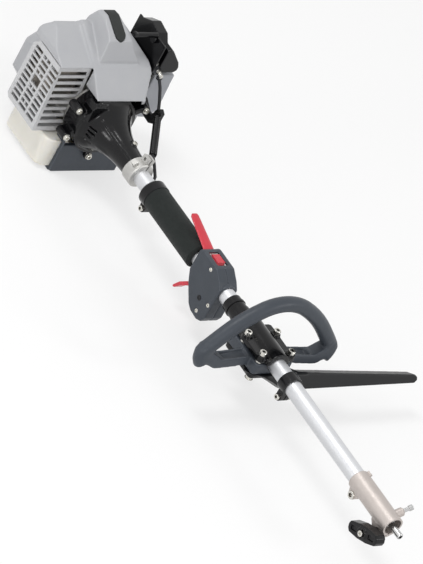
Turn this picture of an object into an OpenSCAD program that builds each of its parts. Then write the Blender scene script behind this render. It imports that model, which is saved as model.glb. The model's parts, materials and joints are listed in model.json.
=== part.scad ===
// Power unit of a split-shaft trimmer: engine, upper shaft, handles and quick coupling.
// Millimetres. +X runs along the shaft and out of the coupling mouth, +Y is the air-filter
// side, +Z is up. The origin is the centre of the coupling mouth on the shaft axis.

/* [Shaft] */
// Outer diameter of the upper tube
tube_d = 26; // [24:0.5:28]
// Wall of the upper tube
tube_wall = 1.5; // [1.2:0.1:2]
// Distance from the coupling mouth back to the face of the clamp ring at the engine
shaft_len = 725; // [700:1:800]
// Diameter of the solid drive shaft
drive_d = 8; // [7:0.5:9]
// Outer diameter of the drive socket's nose
nose_d = 9.5; // [9:0.1:10]
// How far the drive socket stands out of the coupling mouth
nose_out = 20; // [14:1:24]
// Across flats of the square hole in the nose
square_af = 5.2; // [4.5:0.1:5.6]

/* [Coupling] */
// Length of the coupling casting
coupling_len = 95; // [85:1:110]
// Wall of the coupling casting over the tube
coupling_wall = 2.7; // [2.4:0.1:4]
// Depth of the socket that takes the attachment's tube
socket_depth = 50; // [40:1:56]
// Distance of the clamp bolt behind the mouth
bolt_back = 13; // [12:1:18]
// Span of the knob across its two wings
knob_span = 60; // [50:1:66]
// Angle of the lock pin above +Y
pin_angle = 27; // [15:1:40]

/* [Front handle] */
// Distance of the front handle's clamp centre behind the mouth
handle_back = 354; // [345:1:370]
// Length of the handle clamp along the shaft
clamp_len = 80; // [76:1:90]
// Screw spacing along the shaft
screw_pitch_x = 42; // [38:1:48]
// Screw spacing across the shaft
screw_pitch_y = 54; // [52:1:58]
// Diameter of the loop's grip
loop_d = 23.4; // [21:0.2:26]
// Lean of the loop toward the engine
loop_lean = 7; // [0:1:15]
// Radius of the loop's crown
crown_r = 89; // [80:1:96]
// Height of the crown's centre line above the shaft axis
crown_h = 81.5; // [76:0.5:88]
// Reach of the barrier bar to the side
bar_reach = 288; // [240:1:300]

/* [Rear grip and controls] */
// Diameter of the rear grip
grip_d = 42; // [38:1:45]
// Length of the rear grip
grip_len = 128; // [110:1:134]
// Width of the control housing
control_w = 34; // [33:1:38]
// Wall of the control housing
control_wall = 2.5; // [2:0.1:3]
// Width of the throttle trigger
trigger_w = 16; // [12:1:18]
// Travel of the stop switch

/* [Engine] */
// Cylinder bore
bore_d = 34; // [32:0.5:35]
// Piston stroke
stroke = 28; // [26:1:29]
// Number of cooling fins
fin_count = 8; // [6:1:9]
// Wall of the moulded engine covers
cover_wall = 2.5; // [2:0.1:3]
// Number of slots in the front of the muffler guard
slot_count = 9; // [7:1:10]
// Diameter of the fan wheel
fan_d = 80; // [74:1:82]
// Number of blades on the fan wheel
blade_count = 16; // [12:1:20]
// Outer diameter of the corrugated cable sleeve
sleeve_d = 12; // [10:0.5:13]
// Number of ribs on the corrugated sleeve
sleeve_ribs = 22; // [16:1:26]
// Width of the tank stand's base
stand_w = 124; // [110:1:130]

/* [Hidden] */
$fn = 48;

tube_r = tube_d / 2;
tube_bore_r = tube_r - tube_wall;
seat = 0.03;
slide_fit = 0.06;
gap = 0.3;
coupling_r = tube_r + coupling_wall;
ring_x = -shaft_len;
ring_len = 20;
bell_x = ring_x - ring_len;
bell_len = 95;
flange_x = bell_x - bell_len;
fan_x = flange_x - 4;
fan_w = 24;
case_x = fan_x - fan_w - 4;
case_len = 84;
case_back = case_x - case_len;
cyl_x = case_x - 54;
face_left = -34;
shroud_back = case_back - 6;
stand_x1 = flange_x - 6;
tank_z1 = -43;

// Plain turned shapes along each axis
module x_rod(r, x0, x1) translate([x0, 0, 0]) rotate([0, 90, 0]) cylinder(r = r, h = x1 - x0);
module y_rod(r, y0, y1) translate([0, y0, 0]) rotate([-90, 0, 0]) cylinder(r = r, h = y1 - y0);
module z_rod(r, z0, z1) translate([0, 0, z0]) cylinder(r = r, h = z1 - z0);
module x_ring(ro, ri, x0, x1) {
    difference() {
        x_rod(ro, x0, x1);
        x_rod(ri, x0 - 1, x1 + 1);
    }
}
// A flat outline in X and Z, given thickness along Y
module plate_xz(y0, y1) translate([0, y1, 0]) rotate([90, 0, 0]) linear_extrude(y1 - y0) children();
// A flat outline in Y and Z, given thickness along X
module plate_yz(x0, x1) {
    translate([x0, 0, 0]) rotate([90, 0, 90]) linear_extrude(x1 - x0) children();
}
// A rectangle with true round corners, centred
module round_rect(w, h, r) {
    square([w - 2 * r, h], center = true);
    square([w, h - 2 * r], center = true);
    for (i = [-1, 1], j = [-1, 1]) translate([i * (w / 2 - r), j * (h / 2 - r)]) circle(r = r);
}
module box(x0, x1, y0, y1, z0, z1) translate([x0, y0, z0]) cube([x1 - x0, y1 - y0, z1 - z0]);
// A socket-head screw along +Z with its seat at the origin
module cap_screw(d, len, head_d, head_h) {
    difference() {
        union() {
            translate([0, 0, -len]) cylinder(d = d, h = len + 0.5);
            cylinder(d = head_d, h = head_h);
        }
        translate([0, 0, head_h * 0.4]) cylinder(d = head_d * 0.55, h = head_h, $fn = 6);
    }
}

// ---------------------------------------------------------------- shaft
tube_front = -socket_depth - 2;
tube_back = bell_x - 9.5;
module upper_tube() {
    color("silver") x_ring(tube_r, tube_bore_r, tube_back, tube_front);
}

bush_len = 14;
bush_front = tube_front - 8;
bush_pitch = 205;
bush_count = 4;
module shaft_bushes() {
    color("dimgray") for (i = [0 : bush_count - 1]) {
        translate([bush_front - bush_len - i * bush_pitch, 0, 0])
            x_ring(tube_bore_r - seat, drive_d / 2 + slide_fit, 0, bush_len);
    }
}

drum_x = flange_x + 4;
drum_r = 27;
drum_wall = 2.5;
bearing_od = 28;
bearing_id = 12;
bearing_w = 8;
shaft_back = bell_x - 30;
module drive_shaft() {
    color("gray") x_rod(drive_d / 2, shaft_back, bush_front - bush_len - 4);
}

nose_in = 6;
module drive_socket() {
    tail = bush_front - bush_len - 16;
    color("silver") difference() {
        union() {
            x_rod(nose_d / 2, -nose_in, nose_out - 1);
            x_rod(nose_d / 2 + 1.25, bush_front + 1, -nose_in + 0.01);
            translate([nose_out - 1, 0, 0]) rotate([0, 90, 0])
                cylinder(r1 = nose_d / 2, r2 = nose_d / 2 - 0.8, h = 1);
            x_rod(drive_d / 2, bush_front - bush_len - 1, bush_front + 1.5);
            x_rod(nose_d / 2 + 1.5, tail, bush_front - bush_len - 1);
        }
        x_rod(drive_d / 2 + 0.02, tail - 1, bush_front - bush_len - 4);
        box(nose_out - 16, nose_out + 1, -square_af / 2, square_af / 2, -square_af / 2, square_af / 2);
    }
}

// ---------------------------------------------------------------- quick coupling
ear_w = 9;
ear_low = coupling_r + 15;
bolt_z = -(coupling_r + 7);
slit = 2.4;
pin_x = -17;
pin_r = 3;
boss_r = 6.5;
boss_out = coupling_r + 11;
lug_x = -coupling_len + 11;
lug_z = -(coupling_r + 5);
module coupling_body() {
    color("lightgray") difference() {
        union() {
            x_rod(coupling_r, -coupling_len + 1, 0);
            translate([-coupling_len, 0, 0]) rotate([0, 90, 0])
                cylinder(r1 = coupling_r - 0.8, r2 = coupling_r, h = 1);
            plate_xz(-ear_w, ear_w) hull() {
                translate([-bolt_back, bolt_z]) circle(r = 8, $fn = 32);
                translate([-bolt_back - 18, -coupling_r + 2]) circle(r = 2, $fn = 32);
                translate([-2, -coupling_r + 2]) circle(r = 2, $fn = 32);
            }
            plate_xz(-8, 8) hull() {
                translate([lug_x, lug_z]) circle(r = 6.5, $fn = 32);
                translate([lug_x - 8, -coupling_r + 3]) circle(r = 2, $fn = 32);
                translate([lug_x + 12, -coupling_r + 3]) circle(r = 2, $fn = 32);
            }
            rotate([pin_angle, 0, 0]) translate([pin_x, 0, 0]) {
                y_rod(boss_r, tube_r + 1, boss_out - 2);
                translate([0, boss_out - 2, 0]) rotate([-90, 0, 0])
                    cylinder(r1 = boss_r, r2 = boss_r - 2, h = 2);
            }
            rotate([52, 0, 0]) box(-coupling_len + 1, -coupling_len + 9, coupling_r - 1,
                                   coupling_r + 3, -2, 2);
        }
        x_rod(tube_r + slide_fit, -socket_depth, 1);
        x_rod(tube_bore_r - 1, -coupling_len - 1, 1);
        x_rod(tube_r + seat, -coupling_len - 1, tube_front);
        box(-socket_depth + 6, 1, -slit / 2, slit / 2, -ear_low - 5, 0);
        box(-coupling_len - 1, lug_x + 16, -slit / 2, slit / 2, -ear_low, 0);
        translate([-bolt_back, 0, bolt_z]) y_rod(3.1, -ear_w - 1, ear_w + 1);
        translate([lug_x, 0, lug_z]) {
            y_rod(2.6, -9, 9);
            y_rod(4.6, -9, -6);
        }
        rotate([pin_angle, 0, 0]) translate([pin_x, 0, 0]) {
            y_rod(pin_r + slide_fit, 0, boss_out + 1);
            y_rod(boss_r - 1.6, tube_r + 3.5, boss_out - 2.5);
        }
    }
}

knob_in = -(coupling_r + 2.5);
knob_out = knob_in - 19;
module knob_bolt() {
    color("silver") translate([-bolt_back, 0, bolt_z]) difference() {
        union() {
            y_rod(3, knob_out - 1, ear_w + 4);
            y_rod(5.5, ear_w, ear_w + 4);
            y_rod(4.5, knob_out - 2.5, knob_out - 0.2);
        }
        translate([0, knob_out + 0.2, 0]) rotate([90, 0, 0]) cylinder(r = 2.4, h = 4, $fn = 6);
    }
}

knob_tilt = 22;
module clamp_knob() {
    wing = knob_span / 2;
    color([0.12, 0.12, 0.14]) translate([-bolt_back, 0, bolt_z]) rotate([0, -knob_tilt, 0]) difference() {
        union() {
            y_rod(8, knob_in - 0.01, -ear_w - gap);
            plate_xz(knob_out + 2, knob_in) polygon([
                [-wing, -3], [-wing + 3, -8], [-9, -11], [9, -11], [wing - 3, -8],
                [wing, -3], [wing, 3], [wing - 3, 8], [9, 11], [-9, 11], [-wing + 3, 8], [-wing, 3]
            ]);
            y_rod(9, knob_out, knob_out + 2.01);
        }
        y_rod(3 + slide_fit, knob_out - 1, 0);
        y_rod(6.5, knob_out - 1, knob_out + 0.9);
        for (s = [-1, 1]) translate([s * (wing - 12), 0, 0])
            plate_xz(knob_out + 1, knob_out + 5) square([12, 7], center = true);
    }
}

module lock_pin() {
    color("silver") rotate([pin_angle, 0, 0]) translate([pin_x, 0, 0]) {
        y_rod(pin_r, tube_r - 3, boss_out + 14);
        y_rod(boss_r - 1.9, tube_r + 4, tube_r + 5.2);
        y_rod(pin_r + 1.2, boss_out + 9, boss_out + 15);
    }
}

// A wire coil along +Y from y0 to y1, r to the wire's centre
module coil(r, wire, y0, y1, turns) {
    sides = 6;
    steps = 12;
    n = turns * steps;
    pts = [for (i = [0 : n], j = [0 : sides - 1])
        let (t = 360 * i / steps, a = 360 * j / sides, q = r + wire / 2 * cos(a))
        [q * cos(t), y0 + (y1 - y0) * i / n + wire / 2 * sin(a), q * sin(t)]];
    walls = [for (i = [0 : n - 1], j = [0 : sides - 1])
        [i * sides + j, (i + 1) * sides + j,
         (i + 1) * sides + (j + 1) % sides, i * sides + (j + 1) % sides]];
    lid = [for (j = [sides - 1 : -1 : 0]) n * sides + j];
    base = [for (j = [0 : sides - 1]) j];
    polyhedron(points = pts, faces = concat(walls, [lid, base]), convexity = 6);
}
module pin_spring() {
    color("silver") rotate([pin_angle, 0, 0]) translate([pin_x, 0, 0])
        coil(pin_r + 0.8, 0.9, tube_r + 5.9, boss_out - 3.2, 4);
}

// ---------------------------------------------------------------- bands on the tube
band_x = -294;
band_w = 17;
band_t = 3;
collar_x = -454;
collar_w = 40;
grip_front = -549;
grip_back = grip_front - grip_len;
end_collar_w = 18;
lug_drop = tube_r + 12;
// A split band with two lugs below it, drilled for a pinch screw along Y
module band(x0, w, t, lug_len) {
    difference() {
        union() {
            x_rod(tube_r + t, x0, x0 + w);
            plate_xz(-8, 8) translate([x0 + w / 2, 0]) hull() {
                translate([0, -lug_drop]) circle(r = lug_len / 2, $fn = 32);
                translate([-lug_len / 2, -tube_r - 1]) square([lug_len, 1]);
            }
        }
        x_rod(tube_r + seat, x0 - 1, x0 + w + 1);
        box(x0 - 1, x0 + w + 1, -1, 1, -lug_drop - 12, 0);
        translate([x0 + w / 2, 0, -lug_drop]) y_rod(2.6, -9, 9);
    }
}
module harness_band() {
    color([0.1, 0.1, 0.11]) band(band_x, band_w, band_t, 12);
}
module spacer_collar() {
    color([0.1, 0.1, 0.11]) {
        band(collar_x + collar_w - 16, 16, 3, 12);
        x_ring(tube_r + 2, tube_r + seat, collar_x, collar_x + collar_w - 15.9);
        x_ring(tube_r + 3.2, tube_r + seat, collar_x + 9, collar_x + 13);
    }
}
module grip_collar() {
    color([0.1, 0.1, 0.11]) difference() {
        union() {
            x_rod(grip_d / 2 + 0.8, grip_back - end_collar_w + 3, grip_back);
            translate([grip_back - end_collar_w, 0, 0]) rotate([0, 90, 0])
                cylinder(r1 = grip_d / 2 - 2, r2 = grip_d / 2 + 0.8, h = 3);
            translate([grip_back - 9, 0, 0]) plate_xz(-8, 8) hull() {
                translate([0, -grip_d / 2 - 6]) circle(r = 6, $fn = 32);
                translate([-8, -grip_d / 2 + 2]) square([16, 1]);
            }
        }
        x_rod(tube_r + seat, grip_back - 30, grip_back + 1);
        box(grip_back - 30, grip_back + 1, -1, 1, -grip_d, 0);
        translate([grip_back - 9, 0, -grip_d / 2 - 6]) y_rod(2.6, -9, 9);
        translate([0, 0, cable_z]) x_rod(cable_r + 0.3, grip_back - 30, grip_back + 1);
    }
}

// One pinch screw along Y: head on the -Y side, nut on the +Y side
module pinch_screw(grip) {
    difference() {
        union() {
            y_rod(2.5, -grip, grip + 5);
            y_rod(4.4, -grip - 4, -grip);
            translate([0, grip, 0]) rotate([-90, 0, 0]) cylinder(r = 4.6, h = 4, $fn = 6);
        }
        translate([0, -grip - 2.2, 0]) rotate([90, 0, 0]) cylinder(r = 2.3, h = 3, $fn = 6);
    }
}
module pinch_screws() {
    color("silver") {
        translate([band_x + band_w / 2, 0, -lug_drop]) pinch_screw(8);
        translate([collar_x + collar_w - 8, 0, -lug_drop]) pinch_screw(8);
        translate([grip_back - 9, 0, -grip_d / 2 - 6]) pinch_screw(8);
        translate([lug_x, 0, lug_z]) difference() {
            union() {
                y_rod(2.5, -6, 12);
                y_rod(4.4, -10, -6);
                translate([0, 8, 0]) rotate([-90, 0, 0]) cylinder(r = 4.6, h = 4, $fn = 6);
            }
            translate([0, -8.2, 0]) rotate([90, 0, 0]) cylinder(r = 2.3, h = 3, $fn = 6);
        }
    }
}

// ---------------------------------------------------------------- front handle
clamp_x0 = -handle_back - clamp_len / 2 - 8;
clamp_x1 = clamp_x0 + clamp_len;
screw_x = -handle_back - 1;
saddle_r = tube_r + 7;
flange_y = screw_pitch_y / 2 + 8;
flange_z = 9;
seam_z = -1;
base_z = -20;
handle_screw_d = 6;
module at_handle_screws() {
    for (i = [-1, 1], j = [-1, 1])
        translate([screw_x + i * screw_pitch_x / 2, j * screw_pitch_y / 2, 0]) children();
}
module handle_clamp() {
    color([0.1, 0.1, 0.11]) difference() {
        union() {
            x_rod(saddle_r, clamp_x0, clamp_x1);
            translate([(clamp_x0 + clamp_x1) / 2, 0, 0]) translate([0, 0, flange_z - 7])
                linear_extrude(7) round_rect(clamp_len - 8, 2 * flange_y - 4, 5);
            at_handle_screws() z_rod(7.5, 2, flange_z + 3);
        }
        x_rod(tube_r + seat, clamp_x0 - 1, clamp_x1 + 1);
        box(clamp_x0 - 1, clamp_x1 + 1, -60, 60, -60, 0);
        at_handle_screws() z_rod(handle_screw_d / 2 + 0.15, -60, 60);
    }
}

// The loop lies in a plane that leans back by loop_lean. Its centre line is a crown arc,
// two flatter shoulders and two straight ends, mirrored about the shaft.
crown_a = 26;
shoulder_r = 194;
shoulder_a = 20;
loop_tail = 33;
loop_r = loop_d / 2;
shoulder_end = crown_a + shoulder_a;
crown_cz = crown_h - crown_r;
crown_y = crown_r * sin(crown_a);
crown_z = crown_cz + crown_r * cos(crown_a);
shoulder_cy = crown_y - shoulder_r * sin(crown_a);
shoulder_cz = crown_z - shoulder_r * cos(crown_a);
shoulder_y = shoulder_cy + shoulder_r * sin(shoulder_end);
shoulder_z = shoulder_cz + shoulder_r * cos(shoulder_end);
loop_y = shoulder_y + loop_tail * cos(shoulder_end);
loop_z = shoulder_z - loop_tail * sin(shoulder_end);
heel_y = loop_y - 25;
heel_z = loop_z - 22;
function crown_at(t) = [0, crown_r * sin(t), crown_cz + crown_r * cos(t)];
function shoulder_at(t) = [0, shoulder_cy + shoulder_r * sin(t), shoulder_cz + shoulder_r * cos(t)];
heel_r = 16;
heel_cy = loop_y - heel_r * sin(shoulder_end);
heel_cz = loop_z - heel_r * cos(shoulder_end);
function heel_at(t) = [0, heel_cy + heel_r * sin(t), heel_cz + heel_r * cos(t)];
half_route = concat(
    [for (t = [0 : 4 : crown_a]) crown_at(t)],
    [for (t = [crown_a : 4 : shoulder_end]) shoulder_at(t)],
    [for (t = [shoulder_end : 14 : 150]) heel_at(t)]
);
loop_route = concat(
    [for (i = [len(half_route) - 1 : -1 : 1]) [0, -half_route[i][1], half_route[i][2]]],
    half_route
);
// The flat lower arm, a channel that runs from the loop's heel in to the clamp
arm_w = 22;
arm_h = 15;
arm_in_y = 24;
arm_in_z = -8;
module arm_outline() {
    polygon([
        [loop_y + 8, loop_z + 6], [loop_y + 14.5, loop_z - 3], [loop_y + 3, loop_z - 20],
        [heel_y + 4, heel_z - arm_h / 2], [heel_y - 6, heel_z - arm_h / 2],
        [arm_in_y, arm_in_z - arm_h / 2], [arm_in_y, arm_in_z + arm_h / 2],
        [heel_y - 3, heel_z + arm_h / 2 + 1], [loop_y - 5, loop_z + 1]
    ]);
}
module loop_arm() {
    difference() {
        plate_yz(-arm_w / 2, arm_w / 2) arm_outline();
        plate_yz(-arm_w / 2 + 3.5, arm_w / 2 - 3.5) polygon([
            [heel_y - 8, heel_z + arm_h / 2 + 3], [heel_y - 12, heel_z + 2],
            [flange_y + 2, arm_in_z + 3.5], [flange_y + 2, arm_in_z + arm_h]
        ]);
    }
}
module loop_handle() {
    color([0.27, 0.29, 0.32]) difference() {
        union() {
            translate([-handle_back, 0, 0]) rotate([0, -loop_lean, 0]) {
                cord(loop_route, loop_r, 24, [1, 0, 0]);
                for (s = [0, 1]) mirror([0, s, 0]) loop_arm();
            }
            translate([(clamp_x0 + clamp_x1) / 2, 0, base_z]) linear_extrude(seam_z - base_z)
                round_rect(clamp_len - 8, 2 * flange_y, 6);
        }
        x_rod(tube_r + seat, clamp_x0 - 30, clamp_x1 + 30);
        box(clamp_x0 - 1, clamp_x1 + 1, -flange_y - 1, flange_y + 1, seam_z, 40);
        at_handle_screws() z_rod(handle_screw_d / 2 + 0.15, -60, 60);
    }
}

// The barrier bar hangs under the clamp and reaches out to +Y
bar_lean = 30;
bar_deep = 20;
bar_x = -345;
bar_low = -51;
module bar_outline() {
    polygon([
        [-38, -20], [-38, -24], [-12, -31], [8, -40], [28, bar_low], [80, bar_low],
        [bar_reach - 5, bar_low], [bar_reach, bar_low + 4], [bar_reach, bar_low + 9],
        [bar_reach - 5, bar_low + 13], [58, -26], [40, -20]
    ]);
}
module bar_pocket() {
    polygon([
        [-34, -19], [-34, -22], [-10, -28], [10, -37], [30, bar_low + 3], [bar_reach - 7, bar_low + 3],
        [bar_reach - 4, bar_low + 6], [bar_reach - 4, bar_low + 8], [bar_reach - 7, bar_low + 10],
        [57, -29], [38, -23], [38, -19]
    ]);
}
module barrier_bar() {
    color([0.15, 0.16, 0.18]) difference() {
        union() {
            translate([bar_x, 0, 0]) rotate([0, -bar_lean, 0]) difference() {
                plate_yz(-bar_deep / 2, bar_deep / 2) bar_outline();
                plate_yz(-bar_deep / 2 - 1, bar_deep / 2 - 4) bar_pocket();
            }
            translate([(clamp_x0 + clamp_x1) / 2, 0, base_z - 8]) linear_extrude(7.9)
                round_rect(clamp_len - 8, 2 * flange_y, 6);
        }
        box(clamp_x0 - 30, clamp_x1 + 60, -70, 70, base_z - 0.1, 40);
        at_handle_screws() z_rod(handle_screw_d / 2 + 0.15, -80, 60);
        at_handle_screws() z_rod(6.4, -80, base_z - 8);
    }
}
module handle_screws() {
    color("silver") at_handle_screws() {
        translate([0, 0, flange_z + 3]) cap_screw(handle_screw_d, flange_z + 3 - base_z + 12, 10, 6);
        translate([0, 0, base_z - 13]) cylinder(r = 5.5, h = 5, $fn = 6);
    }
}

// ---------------------------------------------------------------- rear grip and controls
cable_r = 2.5;
cable_z = -(tube_r + cable_r + 0.6);
module rear_grip() {
    color([0.13, 0.14, 0.15]) difference() {
        union() {
            x_rod(grip_d / 2, grip_back, grip_front - 3);
            translate([grip_front - 3, 0, 0]) rotate([0, 90, 0])
                cylinder(r1 = grip_d / 2, r2 = grip_d / 2 - 3, h = 3);
        }
        x_rod(tube_r + seat, grip_back - 1, grip_front + 1);
        translate([0, 0, cable_z]) x_rod(cable_r + 0.3, grip_back - 1, grip_front + 1);
        box(grip_back - 1, grip_front + 1, -1.2, 1.2, cable_z, 0);
    }
}

control_back = -541;
control_front = -469;
trigger_px = -497;
trigger_pz = -30;
lever_px = -536.5;
lever_pz = 19.5;
switch_x = -516.5;
switch_z = 26.5;
module control_outline() {
    polygon([
        [-538, 27.5], [control_back, 24], [control_back, -13], [-530, -31], [-510, -53],
        [-500, -58], [-483, -59],
        [-474, -55], [control_front, -45], [control_front, 8], [-478, 17], [-495, 28], [-534, 28.5]
    ]);
}
module control_inside() {
    w = control_wall;
    polygon([
        [-537, 24.8], [control_back + w, 22], [control_back + w, -12], [-528, -29], [-508, -50],
        [-499, -55],
        [-483, -56], [-476, -53], [control_front - w, -44], [control_front - w, 6], [-480, 14],
        [-496, 25], [-532, 25.5]
    ]);
}
control_screw_at = [[-505, 17.5], [-490, -49], [-476, -26]];
// Both halves together, before they are split on the shaft's vertical plane
module control_shell() {
    half = control_w / 2;
    difference() {
        union() {
            difference() {
                plate_xz(-half, half) control_outline();
                plate_xz(-half + control_wall, half - control_wall) control_inside();
            }
            x_rod(tube_r + 2.6, control_front - 14, control_front);
            x_rod(tube_r + 2.6, control_back, control_back + 12);
            for (p = control_screw_at) translate([p[0], 0, p[1]]) y_rod(4, -half, half);
            translate([trigger_px, 0, trigger_pz]) y_rod(4.5, -half, half);
            translate([lever_px, 0, lever_pz]) y_rod(3.5, -half, half);
        }
        x_rod(tube_r + seat, control_back - 1, control_front + 1);
        for (p = control_screw_at) translate([p[0], 0, p[1]]) {
            y_rod(1.7, -half - 1, half + 1);
            y_rod(3.4, -half - 1, -half + 2.5);
        }
        translate([trigger_px, 0, trigger_pz]) y_rod(trigger_pin_r + slide_fit, -half - 1, half + 1);
        translate([trigger_px, 0, trigger_pz]) y_rod(9.5, -trigger_w / 2 - 0.5, trigger_w / 2 + 0.5);
        translate([lever_px, 0, lever_pz]) y_rod(2 + slide_fit, -half + 2, half - 2);
        translate([lever_px, 0, lever_pz]) y_rod(6, -lever_half - 0.5, lever_half + 0.5);
        // way out for the lever, the trigger and the cable
        box(control_back - 2, lever_px, -lever_half - 0.6, lever_half + 0.6, tube_r + 1.2, 26.9);
        plate_xz(-trigger_w / 2 - 0.6, trigger_w / 2 + 0.6)
            polygon([[-546, -16], [-520, -16], [-505, -46], [-512, -56], [-540, -50]]);
        translate([0, 0, cable_z]) x_rod(cable_r + 0.2, control_back - 1, control_back + 14);
        translate([switch_x, 0, 0]) box(-14.2, 14.2, -9.2, 9.2, switch_z - 6, 40);
    }
}
module control_shell_left() {
    color([0.27, 0.29, 0.32]) intersection() {
        control_shell();
        box(control_back - 5, control_front + 5, -40, 0, -80, 60);
    }
}
module control_shell_right() {
    color([0.27, 0.29, 0.32]) intersection() {
        control_shell();
        box(control_back - 5, control_front + 5, 0, 40, -80, 60);
    }
}
module control_screws() {
    half = control_w / 2;
    color("silver") for (p = control_screw_at) translate([p[0], 0, p[1]]) difference() {
        union() {
            y_rod(1.65, -half + 2, half - 1);
            y_rod(3.2, -half + 0.3, -half + 2.5);
        }
        translate([0, -half + 1.3, 0]) rotate([90, 0, 0]) cylinder(r = 1.5, h = 2, $fn = 6);
    }
}
module switch_bezel() {
    color("whitesmoke") translate([switch_x, 0, switch_z]) difference() {
        translate([0, 0, -5.8]) linear_extrude(4.4) square([28, 18], center = true);
        box(-13, 13, -7, 7, -4.4, 1);
        box(-9, 9, -3.2, 3.2, -7, 0);
    }
}
module stop_switch() {
    color([0.85, 0.12, 0.17]) translate([switch_x, 0, switch_z]) {
        difference() {
            box(-8.8, 8.8, -6.9, 6.9, -4.1, 2);
            for (i = [-2 : 2]) translate([i * 3, 0, 2.2]) y_rod(0.7, -8, 8);
        }
        box(-4.6, 4.6, -3, 3, -5.6, -4);
    }
}

// The lockout lever is a long tongue over the grip, curved across its width
lever_half = 9.5;
lever_tip_x = -600;
module lockout_lever() {
    color([0.85, 0.12, 0.17]) difference() {
        union() {
            intersection() {
                plate_xz(-lever_half, lever_half) polygon([
                    [lever_px + 4, 17.2], [lever_px + 4, 22.5], [lever_px - 2, 24.3], [-548, 27.8],
                    [-562, 31.5], [lever_tip_x + 4, 42], [lever_tip_x, 41], [lever_tip_x, 38.5],
                    [-563, 28.2], [-549, 24.6], [lever_px - 6, 22], [lever_px - 4.5, 17.2]
                ]);
                translate([lever_px, 0, 2]) rotate([0, 15.5, 0]) x_rod(22, -100, 20);
                linear_extrude(60) polygon([
                    [lever_px + 5, -lever_half], [lever_px + 5, lever_half], [-545, lever_half],
                    [lever_tip_x + 4, 7], [lever_tip_x, 4], [lever_tip_x, -4], [lever_tip_x + 4, -7],
                    [-545, -lever_half]
                ]);
            }
            translate([lever_px, 0, lever_pz]) y_rod(4.2, -lever_half, lever_half);
        }
        x_rod(tube_r + gap, lever_px - 30, lever_px + 20);
    }
    color("silver") translate([lever_px, 0, lever_pz])
        y_rod(2, -control_w / 2 + 2.2, control_w / 2 - 2.2);
}

trigger_pin_r = 2.5;
module throttle_trigger() {
    color([0.85, 0.12, 0.17]) difference() {
        union() {
            translate([trigger_px, 0, trigger_pz]) y_rod(8, -trigger_w / 2 - 0.2, trigger_w / 2 + 0.2);
            plate_xz(-trigger_w / 2, trigger_w / 2) polygon([
                [trigger_px, trigger_pz], [trigger_px - 6, trigger_pz - 4], [-528, -36], [-540, -46],
                [-549, -54], [-557, -65], [-560, -66], [-561, -63], [-553, -50], [-541, -38.5],
                [-528, -30], [-512, -21.5], [trigger_px, trigger_pz + 6.5]
            ]);
        }
        translate([trigger_px, 0, trigger_pz]) y_rod(trigger_pin_r - 0.2, -trigger_w, trigger_w);
    }
    color("silver") translate([trigger_px, 0, trigger_pz])
        y_rod(trigger_pin_r, -control_w / 2 + 0.5, control_w / 2 - 0.5);
}

// ---------------------------------------------------------------- throttle cable
// Route of the cable: throttle arm, adjuster, sleeve, under the tube, grip, control housing
sleeve_top = [flange_x + 14, 80, 27];
sleeve_low = [ring_x - 22, 25, 21];
cable_route = [
    [flange_x - 26, 87.5, 66], [flange_x - 17, 87.5, 58],
    [flange_x - 2, 85, 43], sleeve_top, sleeve_low,
    [ring_x - 10, 24, 14], [ring_x + 3, 24, 2], [ring_x + 13, 16, -10], [ring_x + 21, 6, -15.6],
    [ring_x + 28, 0, cable_z],
    [-660, 0, cable_z], [-600, 0, cable_z], [-550, 0, cable_z], [-532, 0, cable_z]
];
function unit(v) = v / norm(v);
// A round cord swept along a list of points; up is a direction that the cord never takes
module cord(route, r, sides, up = [0.1, 0.2, 1]) {
    n = len(route);
    dirs = [for (i = [0 : n - 1]) unit(route[min(i + 1, n - 1)] - route[max(i - 1, 0)])];
    pts = [for (i = [0 : n - 1], j = [0 : sides - 1])
        let (a = 360 * (j + 0.37) / sides, u = unit(cross(dirs[i], up)), v = cross(dirs[i], u))
        route[i] + r * cos(a) * u + r * sin(a) * v];
    walls = [for (i = [0 : n - 2], j = [0 : sides - 1])
        [i * sides + j, (i + 1) * sides + j,
         (i + 1) * sides + (j + 1) % sides, i * sides + (j + 1) % sides]];
    front = [for (j = [0 : sides - 1]) j];
    back = [for (j = [sides - 1 : -1 : 0]) (n - 1) * sides + j];
    polyhedron(points = pts, faces = concat(walls, [front, back]), convexity = 8);
}
module throttle_cable() {
    barrel = cable_route[0] - cable_route[1];
    color([0.1, 0.1, 0.11]) cord(cable_route, cable_r, 10);
    color("silver") translate(cable_route[0]) aim(barrel) rotate_extrude()
        polygon([[0, 0.2], [4, 0.2], [4, 2], [5, 2], [5, 4.5], [4, 4.5], [4, 7], [0.8, 7],
        [0.8, 24], [0, 24]]);
}
// Aims +Z along a direction
module aim(v) {
    rotate([0, acos(v[2] / norm(v)), atan2(v[1], v[0])]) children();
}
module cable_sleeve() {
    run = sleeve_low - sleeve_top;
    len = norm(run);
    pitch = len / sleeve_ribs;
    color([0.09, 0.09, 0.1]) translate(sleeve_top) aim(run) rotate_extrude() polygon(concat(
        [[cable_r + 0.2, 1], [sleeve_d / 2 - 1.2, 1]],
        [for (i = [0 : sleeve_ribs - 2], q = [[0.25, 0.2], [0.35, 0], [0.75, 0], [0.85, 1.2]])
            [sleeve_d / 2 - q[1], (i + q[0]) * pitch + 1]],
        [[sleeve_d / 2 - 1.2, len - 1], [cable_r + 0.2, len - 1]]
    ));
}

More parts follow.
